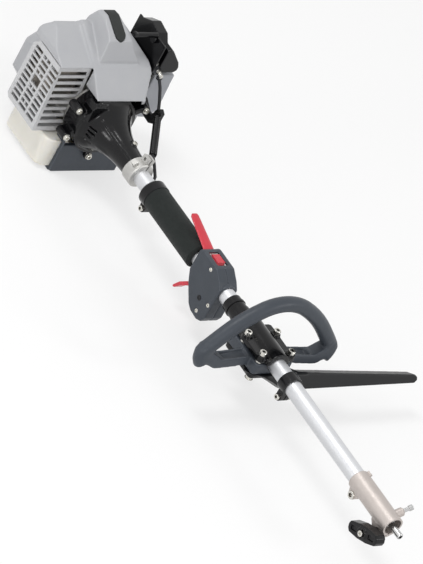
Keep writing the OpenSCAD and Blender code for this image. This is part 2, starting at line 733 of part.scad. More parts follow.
// ---------------------------------------------------------------- clutch side
lug_a = 75;
module clamp_ring() {
    ro = tube_r + 8;
    color("silver") difference() {
        union() {
            x_rod(ro, bell_x, ring_x - 1.5);
            translate([ring_x - 1.5, 0, 0]) rotate([0, 90, 0]) cylinder(r1 = ro, r2 = ro - 1.5, h = 1.5);
            rotate([lug_a, 0, 0]) box(bell_x + 3, ring_x - 3, 0, ro + 9, -7, 7);
            rotate([130, 0, 0]) box(bell_x + 6, ring_x - 6, 0, ro + 5, -4, 4);
        }
        x_rod(tube_r + seat, bell_x - 1, ring_x + 1);
        rotate([lug_a, 0, 0]) {
            box(bell_x - 1, ring_x + 1, tube_r - 2, ro + 12, -1, 1);
            translate([bell_x + ring_len / 2, ro + 4, 0]) z_rod(2.6, -10, 10);
        }
        rotate([130, 0, 0]) translate([bell_x + ring_len / 2, ro + 1, 0]) z_rod(1.8, -10, 10);
    }
}

bell_neck_r = tube_r + 5.5;
bell_mouth_r = 50;
bell_top = 44;
bell_room = drum_r + 1.2;
// The trumpet's radius at a share t of its length
function bell_r(t) = bell_neck_r + 6 * t + (bell_mouth_r - bell_neck_r - 6) * pow(t, 3.2);
bell_steps = 10;
ear_at = [[-63, 29], [-61, -22], [64, 30], [1, -60]];
ear_r = 7;
// the lowest ear stands in front of the tank stand, so it is a short one
ear_back = [case_x + 12, case_x + 12, case_x + 12, stand_x1 + gap];
// A flat-topped trumpet: the flat clears the engine cover, whose front ends just above it
module bell() {
    outer = [for (i = [0 : bell_steps]) [bell_r(i / bell_steps), -i * bell_len / bell_steps]];
    difference() {
        union() {
            translate([bell_x, 0, 0]) rotate([0, 90, 0]) rotate_extrude($fn = 72)
                polygon(concat([[0, 0]], outer, [[0, -bell_len]]));
            x_rod(bell_mouth_r + 2, case_x, flange_x + 4);
        }
        box(case_x - 1, flange_x + 60, -60, 60, bell_top, 60);
    }
    // lip round the flat
    box(flange_x - 1.5, flange_x + 3, -27, 27, bell_top - 4, bell_top + 1.5);
}
// Ridge where the two halves of the trumpet meet
ridge_a = 136;
module bell_ridge() {
    rotate([ridge_a - 90, 0, 0]) plate_xz(-1.8, 1.8) polygon(concat(
        [for (i = [0 : bell_steps - 2]) [bell_x - i * bell_len / bell_steps, bell_r(i / bell_steps) + 1.8]],
        [[bell_x - bell_len * 0.8, 10], [bell_x, 10]]
    ));
}
dome_at = [flange_x - 6, -20, -17];
dome_r = 25;
vent_at = [flange_x + 14.5, -28.5, -5.5];
neck_screw_x = bell_x - 28;
neck_screw_a = -15;
neck_boss = 23.5;
module clutch_housing() {
    color([0.07, 0.07, 0.08]) difference() {
        union() {
            bell();
            bell_ridge();
            for (i = [0 : 3]) translate([0, ear_at[i][0], ear_at[i][1]]) {
                x_rod(ear_r, ear_back[i], flange_x + 2);
                rotate([atan2(-ear_at[i][1], -ear_at[i][0]), 0, 0])
                    box(ear_back[i], flange_x, 0, norm(ear_at[i]) - 40, -5, 5);
            }
            // dome over the clutch's vents, and its fairing down to the neck
            intersection() {
                translate(dome_at) sphere(r = dome_r, $fn = 60);
                box(flange_x - 6, bell_x, -60, 40, -60, bell_top);
            }
            translate([flange_x + 14, -22, -12]) aim([60, 12, 5]) cylinder(r1 = 10, r2 = 5.5, h = 58);
            // square shoulder above the dome
            plate_yz(flange_x - 14, flange_x + 10) polygon([
                [-46, 14], [-46, 36], [-40, 42], [-20, 42], [-12, 34], [-12, 14]
            ]);
            rotate([neck_screw_a, 0, 0]) translate([neck_screw_x, 0, 0]) z_rod(5.2, 14, neck_boss);
        }
        // vents in the dome
        for (i = [-1.5 : 1.5]) translate(vent_at) rotate([-33, 12, 32 + 6 * i])
            translate([0, 0, 3.8 * i]) box(-7, 7, -9, 9, -1.1, 1.1);
        // drum room, bearing seats and shaft way
        x_rod(bell_room, flange_x - 7, drum_x + 24);
        x_rod(bearing_od / 2 + seat, drum_x + 23, drum_x + 27 + 2 * bearing_w);
        x_rod(bearing_id / 2 + 1, drum_x + 26, bell_x - 9);
        x_rod(tube_r + seat, bell_x - 10, bell_x + 1);
        difference() {
            x_rod(bell_mouth_r - 3, case_x - 1, flange_x - 1);
            box(case_x - 2, flange_x, -60, 60, bell_top - 3, 60);
        }
        for (e = ear_at) translate([0, e[0], e[1]]) x_rod(2.6, case_x, flange_x + 10);
        rotate([neck_screw_a, 0, 0]) translate([neck_screw_x, 0, 0]) z_rod(2.1, 12, neck_boss + 1);
    }
}
module ball_bearing(x0) {
    ri = bearing_id / 2;
    ro = bearing_od / 2;
    step = (ro - ri) / 3;
    x_ring(ro, ri + 2 * step, x0, x0 + bearing_w);
    x_ring(ri + step, ri + 0.02, x0, x0 + bearing_w);
    for (i = [0 : 7]) rotate([45 * i, 0, 0]) translate([x0 + bearing_w / 2, (ro + ri) / 2, 0])
        sphere(d = step + 0.3, $fn = 24);
}
main_front = case_x - 12;
main_back = case_back + 4;
module ball_bearings() {
    color("gray") {
        ball_bearing(drum_x + 26);
        ball_bearing(drum_x + 26.5 + bearing_w);
        ball_bearing(main_front);
        ball_bearing(main_back);
    }
}
module clutch_drum() {
    color("slategray") difference() {
        union() {
            x_rod(drum_r, drum_x, drum_x + 20);
            x_rod(9, drum_x + 19, drum_x + 25.5);
            x_rod(bearing_id / 2, drum_x + 25, bell_x - 16);
        }
        x_rod(drum_r - drum_wall, drum_x - 1, drum_x + 17);
        x_rod(drive_d / 2 + 0.02, shaft_back - 1, bell_x);
    }
}
shoe_count = 2;
shoe_r = drum_r - drum_wall - 1;
nose_r = 4;
module clutch_shoes() {
    color("darkgray") {
        for (i = [0 : shoe_count - 1]) rotate([180 * i, 0, 0]) difference() {
            x_rod(shoe_r, drum_x + 3, drum_x + 14);
            x_rod(10, drum_x, drum_x + 20);
            box(drum_x, drum_x + 20, -30, 30, -30, 1.5);
        }
        x_ring(10.5, nose_r + 0.04, drum_x + 3, drum_x + 14);
    }
}
web_t = 9;
web_gap = 5.6;
web_r = 20;
module crankshaft() {
    half = web_gap + web_t;
    color("gray") {
        x_rod(bearing_id / 2, cyl_x + half - 1, fan_x + 2);
        x_rod(nose_r, fan_x, drum_x + 15);
        x_rod(web_r, cyl_x + web_gap, cyl_x + half);
        x_rod(bearing_id / 2, case_back - 6, cyl_x - half + 1);
        x_rod(nose_r, case_back - 22, case_back - 5);
        x_rod(web_r, cyl_x - half, cyl_x - web_gap);
    }
}
module flywheel() {
    blade_h = 13;
    color("lightgray") difference() {
        union() {
            x_rod(fan_d / 2 - 14, fan_x - fan_w, fan_x - blade_h);
            x_rod(fan_d / 2, fan_x - fan_w + 6, fan_x - blade_h);
            x_rod(13, fan_x - blade_h, fan_x - 2);
            for (i = [0 : blade_count - 1]) rotate([360 * i / blade_count, 0, 0])
                box(fan_x - blade_h - 1, fan_x - 2, fan_d / 2 - 17, fan_d / 2 - 1, -1.1, 1.1);
        }
        x_rod(bearing_id / 2 + 0.02, fan_x - fan_w - 1, fan_x);
    }
}

// ---------------------------------------------------------------- crankcase and cylinder
case_r = 38;
deck_z = 34;
rod_len = 46;
crown_t = 11;
skirt = 10;
liner_low = web_r + 1.5;
chamber_z = stroke / 2 + rod_len + crown_t + 1;
head_z = chamber_z + 10;
fin_half_x = 24;
fin_half_y = 36;
module crankcase() {
    color("darkgray") difference() {
        union() {
            x_rod(case_r, case_back, case_x);
            intersection() {
                x_rod(bell_mouth_r - 1, case_x - 5, case_x);
                box(case_x - 6, case_x + 1, -60, 60, -60, bell_top - 1);
            }
            box(cyl_x - 26, cyl_x + 26, -27, 27, 0, deck_z);
            for (a = [45, 135, 225, 315]) rotate([a, 0, 0]) translate([0, case_r, 0])
                x_rod(5, shroud_back + gap, case_x - 6);
            box(cyl_x - 22, cyl_x + 22, -30, 30, tank_z1 + gap, -20);
            box(coil_x0 + 2, coil_x1 - 2, -12, 12, 20, coil_z0 - gap);
        }
        x_rod(web_r + 4, main_back + bearing_w + 2, main_front - 2);
        x_rod(bearing_od / 2 + seat, main_front - 3, case_x + 1);
        x_rod(bearing_od / 2 + seat, case_back - 1, main_back + bearing_w + 3);
        translate([cyl_x, 0, 0]) z_rod(bore_d / 2 + 4.2, 12, deck_z + 1);
        box(cyl_x - 27, cyl_x + 27, -case_r, case_r, deck_z, case_r + 10);
    }
    // seal carriers close each side outside the bearings
    color("darkgray") {
        x_ring(bearing_od / 2, bearing_id / 2 + 0.3, case_x - 3.5, case_x);
        x_ring(bearing_od / 2, bearing_id / 2 + 0.3, case_back, case_back + 3.5);
    }
}
port_z = 52;
module cylinder_fins() {
    pitch = (head_z - deck_z - 6) / fin_count;
    for (i = [0 : fin_count]) translate([cyl_x, 0, deck_z + 4 + i * pitch])
        linear_extrude(1.8) round_rect(2 * fin_half_x, 2 * fin_half_y, 8);
}
module cylinder_block() {
    color("lightgray") difference() {
        union() {
            translate([cyl_x, 0, 0]) {
                z_rod(bore_d / 2 + 4, liner_low, deck_z);
                z_rod(bore_d / 2 + 6, deck_z, head_z);
                translate([0, 0, deck_z]) linear_extrude(4) square([50, 52], center = true);
            }
            cylinder_fins();
            translate([cyl_x, 0, port_z]) y_rod(13, -fin_half_y - 2, fin_half_y + 2);
        }
        translate([cyl_x, 0, 0]) {
            z_rod(bore_d / 2 + slide_fit, 10, chamber_z);
            z_rod(7, chamber_z - 1, head_z + 2);
            translate([0, 0, port_z]) y_rod(9, -fin_half_y - 3, fin_half_y + 3);
        }
    }
}
module piston() {
    pin_z = stroke / 2 + rod_len;
    r = bore_d / 2;
    color("silver") translate([cyl_x, 0, 0]) difference() {
        z_rod(r, pin_z - skirt, pin_z + crown_t);
        z_rod(r - 3.5, pin_z - skirt - 1, pin_z + crown_t - 4);
        translate([0, 0, pin_z]) x_rod(4.02, -r - 1, r + 1);
        for (i = [0 : 1]) translate([0, 0, pin_z + crown_t - 4 - 3 * i]) difference() {
            z_rod(r + 1, 0, 1.2);
            z_rod(r - 1.2, -1, 3);
        }
    }
}
module connecting_rod() {
    pin_z = stroke / 2 + rod_len;
    half = web_gap - 0.6;
    color("darkgray") translate([cyl_x, 0, 0]) {
        difference() {
            union() {
                translate([0, 0, stroke / 2]) x_rod(10, -half, half);
                translate([0, 0, pin_z]) x_rod(7, -half, half);
                box(-2.5, 2.5, -5, 5, stroke / 2 + 7, pin_z - 5);
            }
            translate([0, 0, pin_z]) x_rod(4.02, -half - 1, half + 1);
        }
        translate([0, 0, pin_z]) x_rod(4, -bore_d / 2 + 1.5, bore_d / 2 - 1.5);
    }
}
module spark_plug() {
    color("whitesmoke") translate([cyl_x, 0, 0]) {
        z_rod(6.97, chamber_z, head_z);
        translate([0, 0, head_z]) linear_extrude(9) circle(r = 9.2, $fn = 6);
        z_rod(8.5, head_z + 9, head_z + 11);
        z_rod(5, head_z + 11, head_z + 30);
    }
}
module plug_cap() {
    z0 = head_z + 14;
    color([0.08, 0.08, 0.09]) difference() {
        union() {
            translate([cyl_x, 0, 0]) z_rod(7.5, z0, z0 + 20);
            translate([cyl_x, 0, z0 + 14]) y_rod(5.5, 0, 17);
            translate([cyl_x, 17, z0 + 14]) sphere(r = 5.5);
        }
        translate([cyl_x, 0, 0]) z_rod(5.05, z0 - 1, head_z + 30.1);
    }
}
coil_x0 = case_x - 27;
coil_x1 = case_x - 12;
coil_z0 = 52;
module ignition_coil() {
    color([0.2, 0.2, 0.25]) {
        box(coil_x0, coil_x1, -15, 15, coil_z0, coil_z0 + 12);
        for (s = [-1, 1]) translate([0, s * 18, 0])
            box(coil_x0 + 3, coil_x1 - 3, -4, 4, coil_z0, coil_z0 + 7);
    }
}

// ---------------------------------------------------------------- exhaust side
guard_y = -95;
guard_in = face_left - 0.4;
guard_low = -40;
guard_top = 74;
guard_back = cyl_x - 30;
guard_face_top = cyl_x + 42;
guard_face_low = flange_x - 34;
module muffler() {
    y1 = -fin_half_y - 2.3;
    color("gray") {
        difference() {
            translate([cyl_x + 4, y1, 32]) rotate([90, 0, 0])
                linear_extrude(44) round_rect(56, 62, 12);
            translate([cyl_x + 4, y1 - 3, 32]) rotate([90, 0, 0])
                linear_extrude(38) round_rect(53, 59, 10.5);
            translate([cyl_x, 0, port_z]) y_rod(9, y1 - 5, y1 + 1);
        }
        translate([cyl_x + 4, y1 - 46, 32]) rotate([90, 0, 0]) mirror([0, 0, 1])
            linear_extrude(2.1) round_rect(60, 66, 13);
    }
}
module guard_side() {
    polygon([
        [guard_back, guard_low + 6], [guard_back + 6, guard_low], [guard_face_low, guard_low],
        [guard_face_top, guard_top], [guard_back + 12, guard_top], [guard_back, guard_top - 12]
    ]);
}
module guard_side_inner() {
    w = cover_wall;
    polygon([
        [guard_back + w, guard_low + 8], [guard_back + 8, guard_low + w],
        [guard_face_low - w, guard_low + w], [guard_face_top - w, guard_top + 10],
        [guard_back + w, guard_top + 10]
    ]);
}
// Openings of the side grille: three columns of slots, the middle one with a square window
grille_rows = 11;
grille_pitch = (guard_top - guard_low - 14) / grille_rows;
grille_w = (guard_face_low - guard_back - 24) / 3;
module grille() {
    for (row = [0 : grille_rows - 1], col = [0 : 2]) {
        window = col == 1 && (row == 5 || row == 6);
        half = col == 1 && row % 3 == 1 && !window;
        x0 = guard_back + 8 + col * (grille_w + 4);
        z0 = guard_low + 8 + row * grille_pitch;
        if (half) for (k = [0, 1])
            translate([x0 + k * (grille_w / 2 + 1.2), z0]) square([grille_w / 2 - 1.2, grille_pitch - 3]);
        else translate([x0, z0]) square([grille_w, grille_pitch - (window && row == 5 ? -0.1 : 3)]);
    }
}
slot_pitch = (guard_top - guard_low - 10) / slot_count;
muffler_out = -fin_half_y - 48.3;
module muffler_guard() {
    color([0.8, 0.8, 0.79]) difference() {
        union() {
            difference() {
                plate_xz(guard_y, guard_in) guard_side();
                plate_xz(guard_y + cover_wall, guard_in + 1) guard_side_inner();
                plate_xz(guard_y - 1, guard_y + cover_wall + 1) grille();
            }
            // posts that stand on the muffler's lid
            for (col = [1, 2], z = [6, 58])
                translate([guard_back + 6 + col * (grille_w + 4), 0, z])
                    y_rod(4, guard_y + 1, muffler_out - gap);
        }
        // front slots
        for (i = [0 : slot_count - 1])
            box(guard_face_top - 15, guard_face_low + 5, guard_y + 6, guard_in - 5,
                guard_low + 7 + i * slot_pitch, guard_low + 7 + i * slot_pitch + slot_pitch * 0.6);
        x_rod(case_r + 0.6, guard_back - 1, case_x - 4);
        x_rod(bell_mouth_r + 0.5, case_x - 6, case_x + 4);
    }
}

// ---------------------------------------------------------------- shroud
crease_z = 77;
roof_z = 104;
crease_x = cyl_x + 44;
face_low_x = flange_x - 2;
face_low_z = 44.4;
face_low_y = 58;
roof_x = cyl_x - 18;
shroud_right = 76;
hump_y = 8;
hump_z = 132;
module shroud_side(w) {
    polygon([
        [face_low_x - w, -20], [face_low_x - w, face_low_z], [crease_x - w, crease_z - w * 0.3],
        [roof_x, roof_z - w],
        [shroud_back + 8 + w * 0.4, roof_z - w], [shroud_back + w, roof_z - 12 - w * 0.4],
        [shroud_back + w, -20]
    ]);
}
module shroud_front(w) {
    polygon([
        [guard_y + w, guard_top + 0.6], [guard_y + w, crease_z + 10],
        [guard_y + 14 + w * 0.4, roof_z - w],
        [shroud_right - 24 - w * 0.4, roof_z - w], [shroud_right - w, crease_z + 4],
        [shroud_right - w, crease_z - 6], [face_low_y - w, face_low_z], [face_low_y - w, -20],
        [face_left + w, -20], [face_left + w, guard_top + 0.6]
    ]);
}
module hump_side(w) {
    polygon([
        [crease_x - 4 - w, 40], [crease_x - 5 - w, crease_z + 6 - w * 0.5],
        [cyl_x + 28, hump_z - 18 - w],
        [cyl_x + 20, hump_z - 12.5 - w], [cyl_x - 11, hump_z - w], [cyl_x - 26, hump_z - 2 - w],
        [shroud_back + 2 + w, hump_z - 20 - w * 0.3], [shroud_back + 2 + w, 40]
    ]);
}
module hump_front(w) {
    polygon([
        [hump_y - 34 + w, 70], [hump_y - 19 + w, hump_z - 5 - w * 0.4], [hump_y - 14, hump_z - w],
        [hump_y + 11, hump_z - w], [hump_y + 15 - w, hump_z - 5 - w * 0.4],
        [hump_y + 30 - w, roof_z - 4], [hump_y + 54 - w, 70]
    ]);
}
module shroud_body(w) {
    intersection() {
        plate_xz(guard_y, shroud_right + 1) shroud_side(w);
        plate_yz(shroud_back, face_low_x + 10) shroud_front(w);
    }
    intersection() {
        plate_xz(hump_y - 40, shroud_right - 4) hump_side(w);
        plate_yz(shroud_back, face_low_x + 10) hump_front(w);
    }
}
module engine_shroud() {
    color([0.8, 0.8, 0.79]) difference() {
        union() {
            shroud_body(0);
            // stepped creases beside the hump
            intersection() {
                plate_xz(hump_y - 46, hump_y - 20) offset_roof(2.4);
                box(-1000, crease_x - 4, hump_y - 46, hump_y - 20, guard_top + 0.6, 130);
            }
            intersection() {
                plate_xz(hump_y - 40, hump_y - 20) offset_roof(4.6);
                box(-1000, crease_x - 8, hump_y - 40, hump_y - 20, guard_top + 0.6, 130);
            }
        }
        shroud_body(cover_wall);
        box(shroud_back - 1, face_low_x + 20, face_left - 1, shroud_right + 2, -40, -12);
        box(case_x - 8, flange_x + 30, -bell_mouth_r - 2.4, bell_mouth_r + 2.4, -20, bell_top + 0.4);
        for (e = ear_at) translate([0, e[0], e[1]]) x_rod(ear_r + 0.4, case_x, flange_x + 30);
        // ways out for the exhaust, the intake and the crankshaft
        box(case_back - 2, case_x - 8, face_left - 1, face_left + cover_wall + 1, -13, guard_top - 1);
        box(carb_x - 22, carb_x + 22, face_low_y - 5, shroud_right + 2, carb_z - 22, carb_z + 22);
        box(case_x + 8, flange_x + 30, 45, shroud_right, 18, 38);
        x_rod(case_r + 5 + gap, shroud_back - 1, shroud_back + 6);
        pad_cut(0.1);
    }
}
module offset_roof(rise) {
    polygon([
        [crease_x + 1, crease_z - 20], [crease_x, crease_z + rise * 0.4], [roof_x, roof_z + rise],
        [shroud_back + 8, roof_z + rise], [shroud_back, roof_z - 12 + rise * 0.3], [shroud_back, 60]
    ]);
}
pad_w = 20;
pad_low_x = cyl_x + 28.5;
module pad_cut(extra) {
    half = pad_w / 2 + extra;
    intersection() {
        union() {
            box(cyl_x - 24, pad_low_x - 10, hump_y - half, hump_y + half, 80, 150);
            translate([pad_low_x - 10, hump_y, 80]) z_rod(half, 0, 70);
        }
        plate_xz(hump_y - 20, hump_y + 20) polygon([
            [cyl_x + 31.5, hump_z - 23], [cyl_x + 28.5, hump_z - 16.5], [cyl_x + 20.3, hump_z - 11.4],
            [cyl_x - 11, hump_z + 1.1], [cyl_x - 25, hump_z - 1], [cyl_x - 25, hump_z - 3.5 - extra],
            [cyl_x - 11.2, hump_z - 1.6 - extra], [cyl_x + 19.5, hump_z - 14 - extra],
            [cyl_x + 26.5, hump_z - 19 - extra]
        ]);
    }
}
module shroud_pad() {
    color([0.12, 0.13, 0.13]) pad_cut(0);
}

// ---------------------------------------------------------------- fuel tank and stand
tank_x0 = cyl_x - 32;
tank_x1 = flange_x - 13;
tank_y0 = -74;
tank_y1 = 92;
tank_z0 = -92;
cap_y = 62;
cap_z = -68;
filler_x = cyl_x - 50;
ring_room = 57;
module tank_plan(inset) {
    translate([(tank_x0 + tank_x1) / 2, (tank_y0 + tank_y1) / 2])
        round_rect(tank_x1 - tank_x0 - 2 * inset, tank_y1 - tank_y0 - 2 * inset, 16 - inset);
}
tank_wall = 2;
module fuel_tank() {
    color([0.93, 0.92, 0.88]) difference() {
        union() {
            difference() {
                translate([0, 0, tank_z0]) linear_extrude(tank_z1 - tank_z0) tank_plan(0);
                x_rod(ring_room, case_x - 8, tank_x1 + 1);
            }
            translate([0, cap_y, cap_z]) x_rod(15, filler_x, tank_x0 + 3);
        }
        difference() {
            translate([0, 0, tank_z0 + tank_wall]) linear_extrude(tank_z1 - tank_z0 - 2 * tank_wall)
                tank_plan(tank_wall);
            x_rod(ring_room + tank_wall, case_x - 8 - tank_wall, tank_x1 + 1);
        }
        translate([0, cap_y, cap_z]) x_rod(11, filler_x - 1, tank_x0 + 4);
    }
}
module fuel_cap() {
    color([0.1, 0.1, 0.11]) translate([0, cap_y, cap_z]) difference() {
        union() {
            x_rod(18, filler_x - 14, filler_x - gap);
            x_rod(10.9, filler_x - 1, filler_x + 8);
            for (i = [0 : 11]) rotate([30 * i, 0, 0]) translate([0, 18, 0])
                x_rod(1.6, filler_x - 13, filler_x - 1);
        }
        x_rod(14, filler_x - 15, filler_x - 11);
    }
}
stand_z = -97;
stand_y0 = -48;
module tank_stand() {
    y1 = stand_y0 + stand_w;
    color([0.3, 0.32, 0.35]) difference() {
        union() {
            box(tank_x0 + 14, stand_x1, stand_y0, y1, stand_z, tank_z0 - 0.2);
            box(tank_x1 + 0.3, stand_x1, stand_y0, y1, stand_z, -46);
            plate_xz(stand_y0 - 3, stand_y0) polygon([
                [stand_x1, stand_z + 4], [stand_x1, -40], [stand_x1 - 8, -30], [stand_x1 - 22, -38],
                [stand_x1 - 30, stand_z + 8], [stand_x1 - 30, stand_z], [stand_x1 - 4, stand_z]
            ]);
            translate([0, ear_at[3][0], ear_at[3][1]]) x_rod(11, tank_x1 + 0.3, stand_x1);
        }
        box(tank_x1 - 40, tank_x1 + gap, tank_y0 + 10, tank_y1 - 10, tank_z0, tank_z1 + gap);
        translate([0, ear_at[3][0], ear_at[3][1]]) x_rod(2.6, tank_x1 - 1, stand_x1 + 5);
        x_rod(bell_mouth_r + 2.5, tank_x1 - 10, stand_x1 + 10);
    }
}

// ---------------------------------------------------------------- intake side
carb_x = cyl_x;
carb_z = port_z + 4;
module carburettor() {
    y0 = fin_half_y + 2.3;
    color("silver") {
        difference() {
            union() {
                box(carb_x - 17, carb_x + 17, y0 + 10, y0 + 40, carb_z - 17, carb_z + 17);
                translate([carb_x, 0, carb_z]) y_rod(13, y0 + 8, base_y - 3 - gap);
            }
            translate([carb_x, 0, carb_z]) y_rod(8, y0, y0 + 50);
        }
    }
    color([0.15, 0.15, 0.16]) difference() {
        box(carb_x - 20, carb_x + 20, y0, y0 + 9.8, carb_z - 20, carb_z + 20);
        translate([carb_x, 0, carb_z]) y_rod(8, y0 - 1, y0 + 12);
    }
}
base_y = 82;
box_x = cyl_x + 46;
module filter_base() {
    color([0.09, 0.09, 0.1]) difference() {
        union() {
            box(cyl_x - 32, cyl_x + 46, base_y - 3, base_y, -24, 118);
            box(cyl_x - 36, cyl_x - 32, base_y - 3, base_y + 22, primer_z - 13, primer_z + 13);
            box(cyl_x - 32.5, cyl_x - 30.3, base_y - 3, base_y, primer_z - 13, primer_z + 13);
            plate_xz(base_y - 3, base_y + 16) polygon([
                [cyl_x - 24, 88], [cyl_x - 24, 118], [cyl_x - 4, 128], [cyl_x + 20, 124],
                [cyl_x + 34, 108], [cyl_x + 34, 88]
            ]);
            plate_yz(cyl_x + 21, box_x) polygon([
                [base_y + 8, 80], [base_y + 8, 110], [base_y + 14, 114], [base_y + 20, 109], [122, 88],
                [126, 80], [126, 73], [121, 69], [100, 68]
            ]);
            box(cyl_x + 21, cyl_x + 29, base_y - 1, base_y + 9, 60, 110);
            box(cyl_x + 28, cyl_x + 42, base_y - 3, base_y + 10, 10, 62);
            plate_xz(base_y - 5, base_y + 3) polygon([
                [cyl_x + 36, 34], [flange_x - 26, 30], [flange_x - 8, 20], [flange_x + 2, 22],
                [flange_x + 6, 36], [flange_x + 12, 42], [flange_x + 20, 38],
                [flange_x + 20, 18], [flange_x + 4, 8], [cyl_x + 36, 12]
            ]);
        }
        translate([carb_x, 0, carb_z]) y_rod(8, base_y - 5, base_y + 1);
        translate(sleeve_top) aim(sleeve_low - sleeve_top) z_rod(sleeve_d / 2 + gap, 0.4, 20);
        translate(sleeve_top) aim(sleeve_top - cable_route[2]) z_rod(cable_r + 1, -24, 3);
        translate([0, primer_y, primer_z]) x_rod(primer_r + 0.5, cyl_x - 37, cyl_x - 31);
    }
}
cover_out = 136;
cover_front = cyl_x + 42;
module cover_outline(w) {
    polygon([
        [base_y + 0.3, -24 + w], [122 - w * 0.4, -24 + w], [cover_out - w, -8 + w * 0.4],
        [cover_out - 6 - w, 76 - w * 0.4], [120 - w * 0.4, 86 - w], [base_y + 0.3, 86 - w]
    ]);
}
module cover_nose(w) {
    polygon([
        [base_y + 12 + w, -22 + w], [122 - w * 0.4, -24 + w], [cover_out - w, -8 + w * 0.4],
        [cover_out - 4 - w, 60 - w], [base_y + 12 + w, 60 - w]
    ]);
}
module filter_cover() {
    wall = 3;
    color([0.72, 0.73, 0.75]) difference() {
        union() {
            plate_yz(cyl_x - 30, cyl_x + 19.5) cover_outline(0);
            plate_yz(cyl_x + 19, cover_front) cover_nose(0);
        }
        plate_yz(cyl_x - 30 + wall, cyl_x + 19.5 - wall) cover_outline(wall);
        plate_yz(cyl_x + 14, cover_front - wall) cover_nose(wall);
    }
}
module filter_element() {
    color([0.25, 0.25, 0.2]) box(cyl_x - 24, cyl_x + 14, base_y + 5, base_y + 25, 10, 78);
    color([0.09, 0.09, 0.1]) difference() {
        box(cyl_x - 26, cyl_x + 16, base_y + 0.3, base_y + 4.8, 8, 80);
        translate([carb_x, 0, carb_z]) y_rod(10, base_y, base_y + 6);
    }
}
choke_x = cyl_x + 28;
choke_z = 116;
choke_reach = 42;
module choke_lever() {
    color([0.09, 0.09, 0.1]) translate([0, base_y - 3.4, 0]) {
        translate([choke_x - 8, 0, choke_z - 4]) mirror([0, 1, 0]) {
            y_rod(6, 0, 5);
            plate_xz(0, 5) polygon([[-3, -4], [-3, 10], [3, 10], [3, -4]]);
            plate_xz(0, choke_reach) polygon([[-4, 6], [-4, 10.5], [-1, 12.5], [3, 12], [4, 9],
            [4, 6]]);
            translate([0, choke_reach, 9.2]) x_rod(3.6, -4, 4);
        }
    }
}
arm_x = cyl_x + 35;
arm_z = 75;
module throttle_arm() {
    color("silver") translate([arm_x, 0, arm_z]) {
        y_rod(3, base_y + gap, base_y + 7.6);
        plate_xz(base_y + 2.4, base_y + 4.4) polygon([[-4, -3], [-4, 3], [5, 11], [9, 9], [4, -4]]);
    }
}
primer_y = base_y + 11;
primer_z = 4;
primer_r = 8.8;
primer_wall = 1.4;
module primer_bulb() {
    ri = primer_r - primer_wall;
    color([0.85, 0.85, 0.8]) translate([cyl_x - 37, primer_y, primer_z]) rotate([0, 90, 0])
        rotate_extrude() polygon(concat(
            [[ri, 1.5], [primer_r + 0.3, 1.5], [primer_r + 0.3, 0]],
            [for (a = [0 : 10 : 90]) primer_r * [cos(a), -sin(a)]],
            [for (a = [90 : -10 : 0]) ri * [cos(a), -sin(a)]]
        ));
}

// ---------------------------------------------------------------- recoil starter
starter_x0 = shroud_back - gap;
starter_len = 52;
starter_back = starter_x0 - starter_len;
starter_r = 61;
module starter_outline(w) {
    r = starter_r - w;
    c = r * 0.42;
    polygon([[-r, -c], [-r, c], [-c, r], [c, r], [r, c], [r, -c], [c, -r], [-c, -r]]);
}
rope_r = 1.75;
spool_r = 30;
rope_z = spool_r + rope_r + gap;
module starter_housing() {
    color([0.8, 0.8, 0.79]) difference() {
        union() {
            plate_yz(starter_back + 6, starter_x0) starter_outline(0);
            plate_yz(starter_back, starter_back + 6.01) starter_outline(7);
            box(starter_x0 - 30, starter_x0 - 14, 44, starter_r, rope_z - 8, rope_z + 8);
        }
        plate_yz(starter_back + 8, starter_x0 + 1) starter_outline(cover_wall);
        for (a = [0 : 30 : 330]) rotate([a, 0, 0]) plate_yz(starter_back - 1, starter_back + 9)
            translate([33, 0]) square([24, 4], center = true);
        translate([starter_x0 - 22, 0, rope_z]) y_rod(rope_r + 0.5, 30, 70);
    }
    color([0.8, 0.8, 0.79]) {
        x_rod(5, starter_back + 7, starter_x0 - 18);
    }
}
module starter_pulley() {
    x1 = starter_x0 - 14;
    color([0.15, 0.15, 0.16]) difference() {
        union() {
            x_rod(spool_r + 5, x1 - 16, x1 - 12);
            x_rod(spool_r, x1 - 12, x1 - 4);
            x_rod(spool_r + 5, x1 - 4, x1);
        }
        x_rod(5 + slide_fit, x1 - 17, x1 - 6);
        x_rod(7, x1 - 6, x1 + 1);
    }
}
module starter_rope() {
    color([0.9, 0.9, 0.88]) translate([starter_x0 - 22, 0, rope_z])
        y_rod(rope_r, 2, starter_r + 1.2);
}
handle_grip_len = 30;
module starter_handle() {
    color([0.09, 0.09, 0.1]) translate([starter_x0 - 22, starter_r + 0.8, rope_z]) difference() {
        union() {
            plate_xz(0, 12) round_rect(16, 14, 5);
            translate([0, 18, 0]) x_rod(7, -handle_grip_len / 2, handle_grip_len / 2);
            box(-7, 7, 10, 20, -6, 6);
            for (s = [-1, 1]) translate([s * handle_grip_len / 2, 18, 0]) sphere(r = 7);
        }
        y_rod(rope_r + 0.1, -1, 8);
    }
}

// ---------------------------------------------------------------- engine screws
module engine_screws() {
    color("silver") {
        for (e = ear_at)
            translate([flange_x + 2, e[0], e[1]]) rotate([0, 90, 0]) cap_screw(5, 14, 9.2, 3.4);
        rotate([neck_screw_a, 0, 0]) translate([neck_screw_x, 0, neck_boss]) cap_screw(4, 8, 8, 2.2);
    }
}

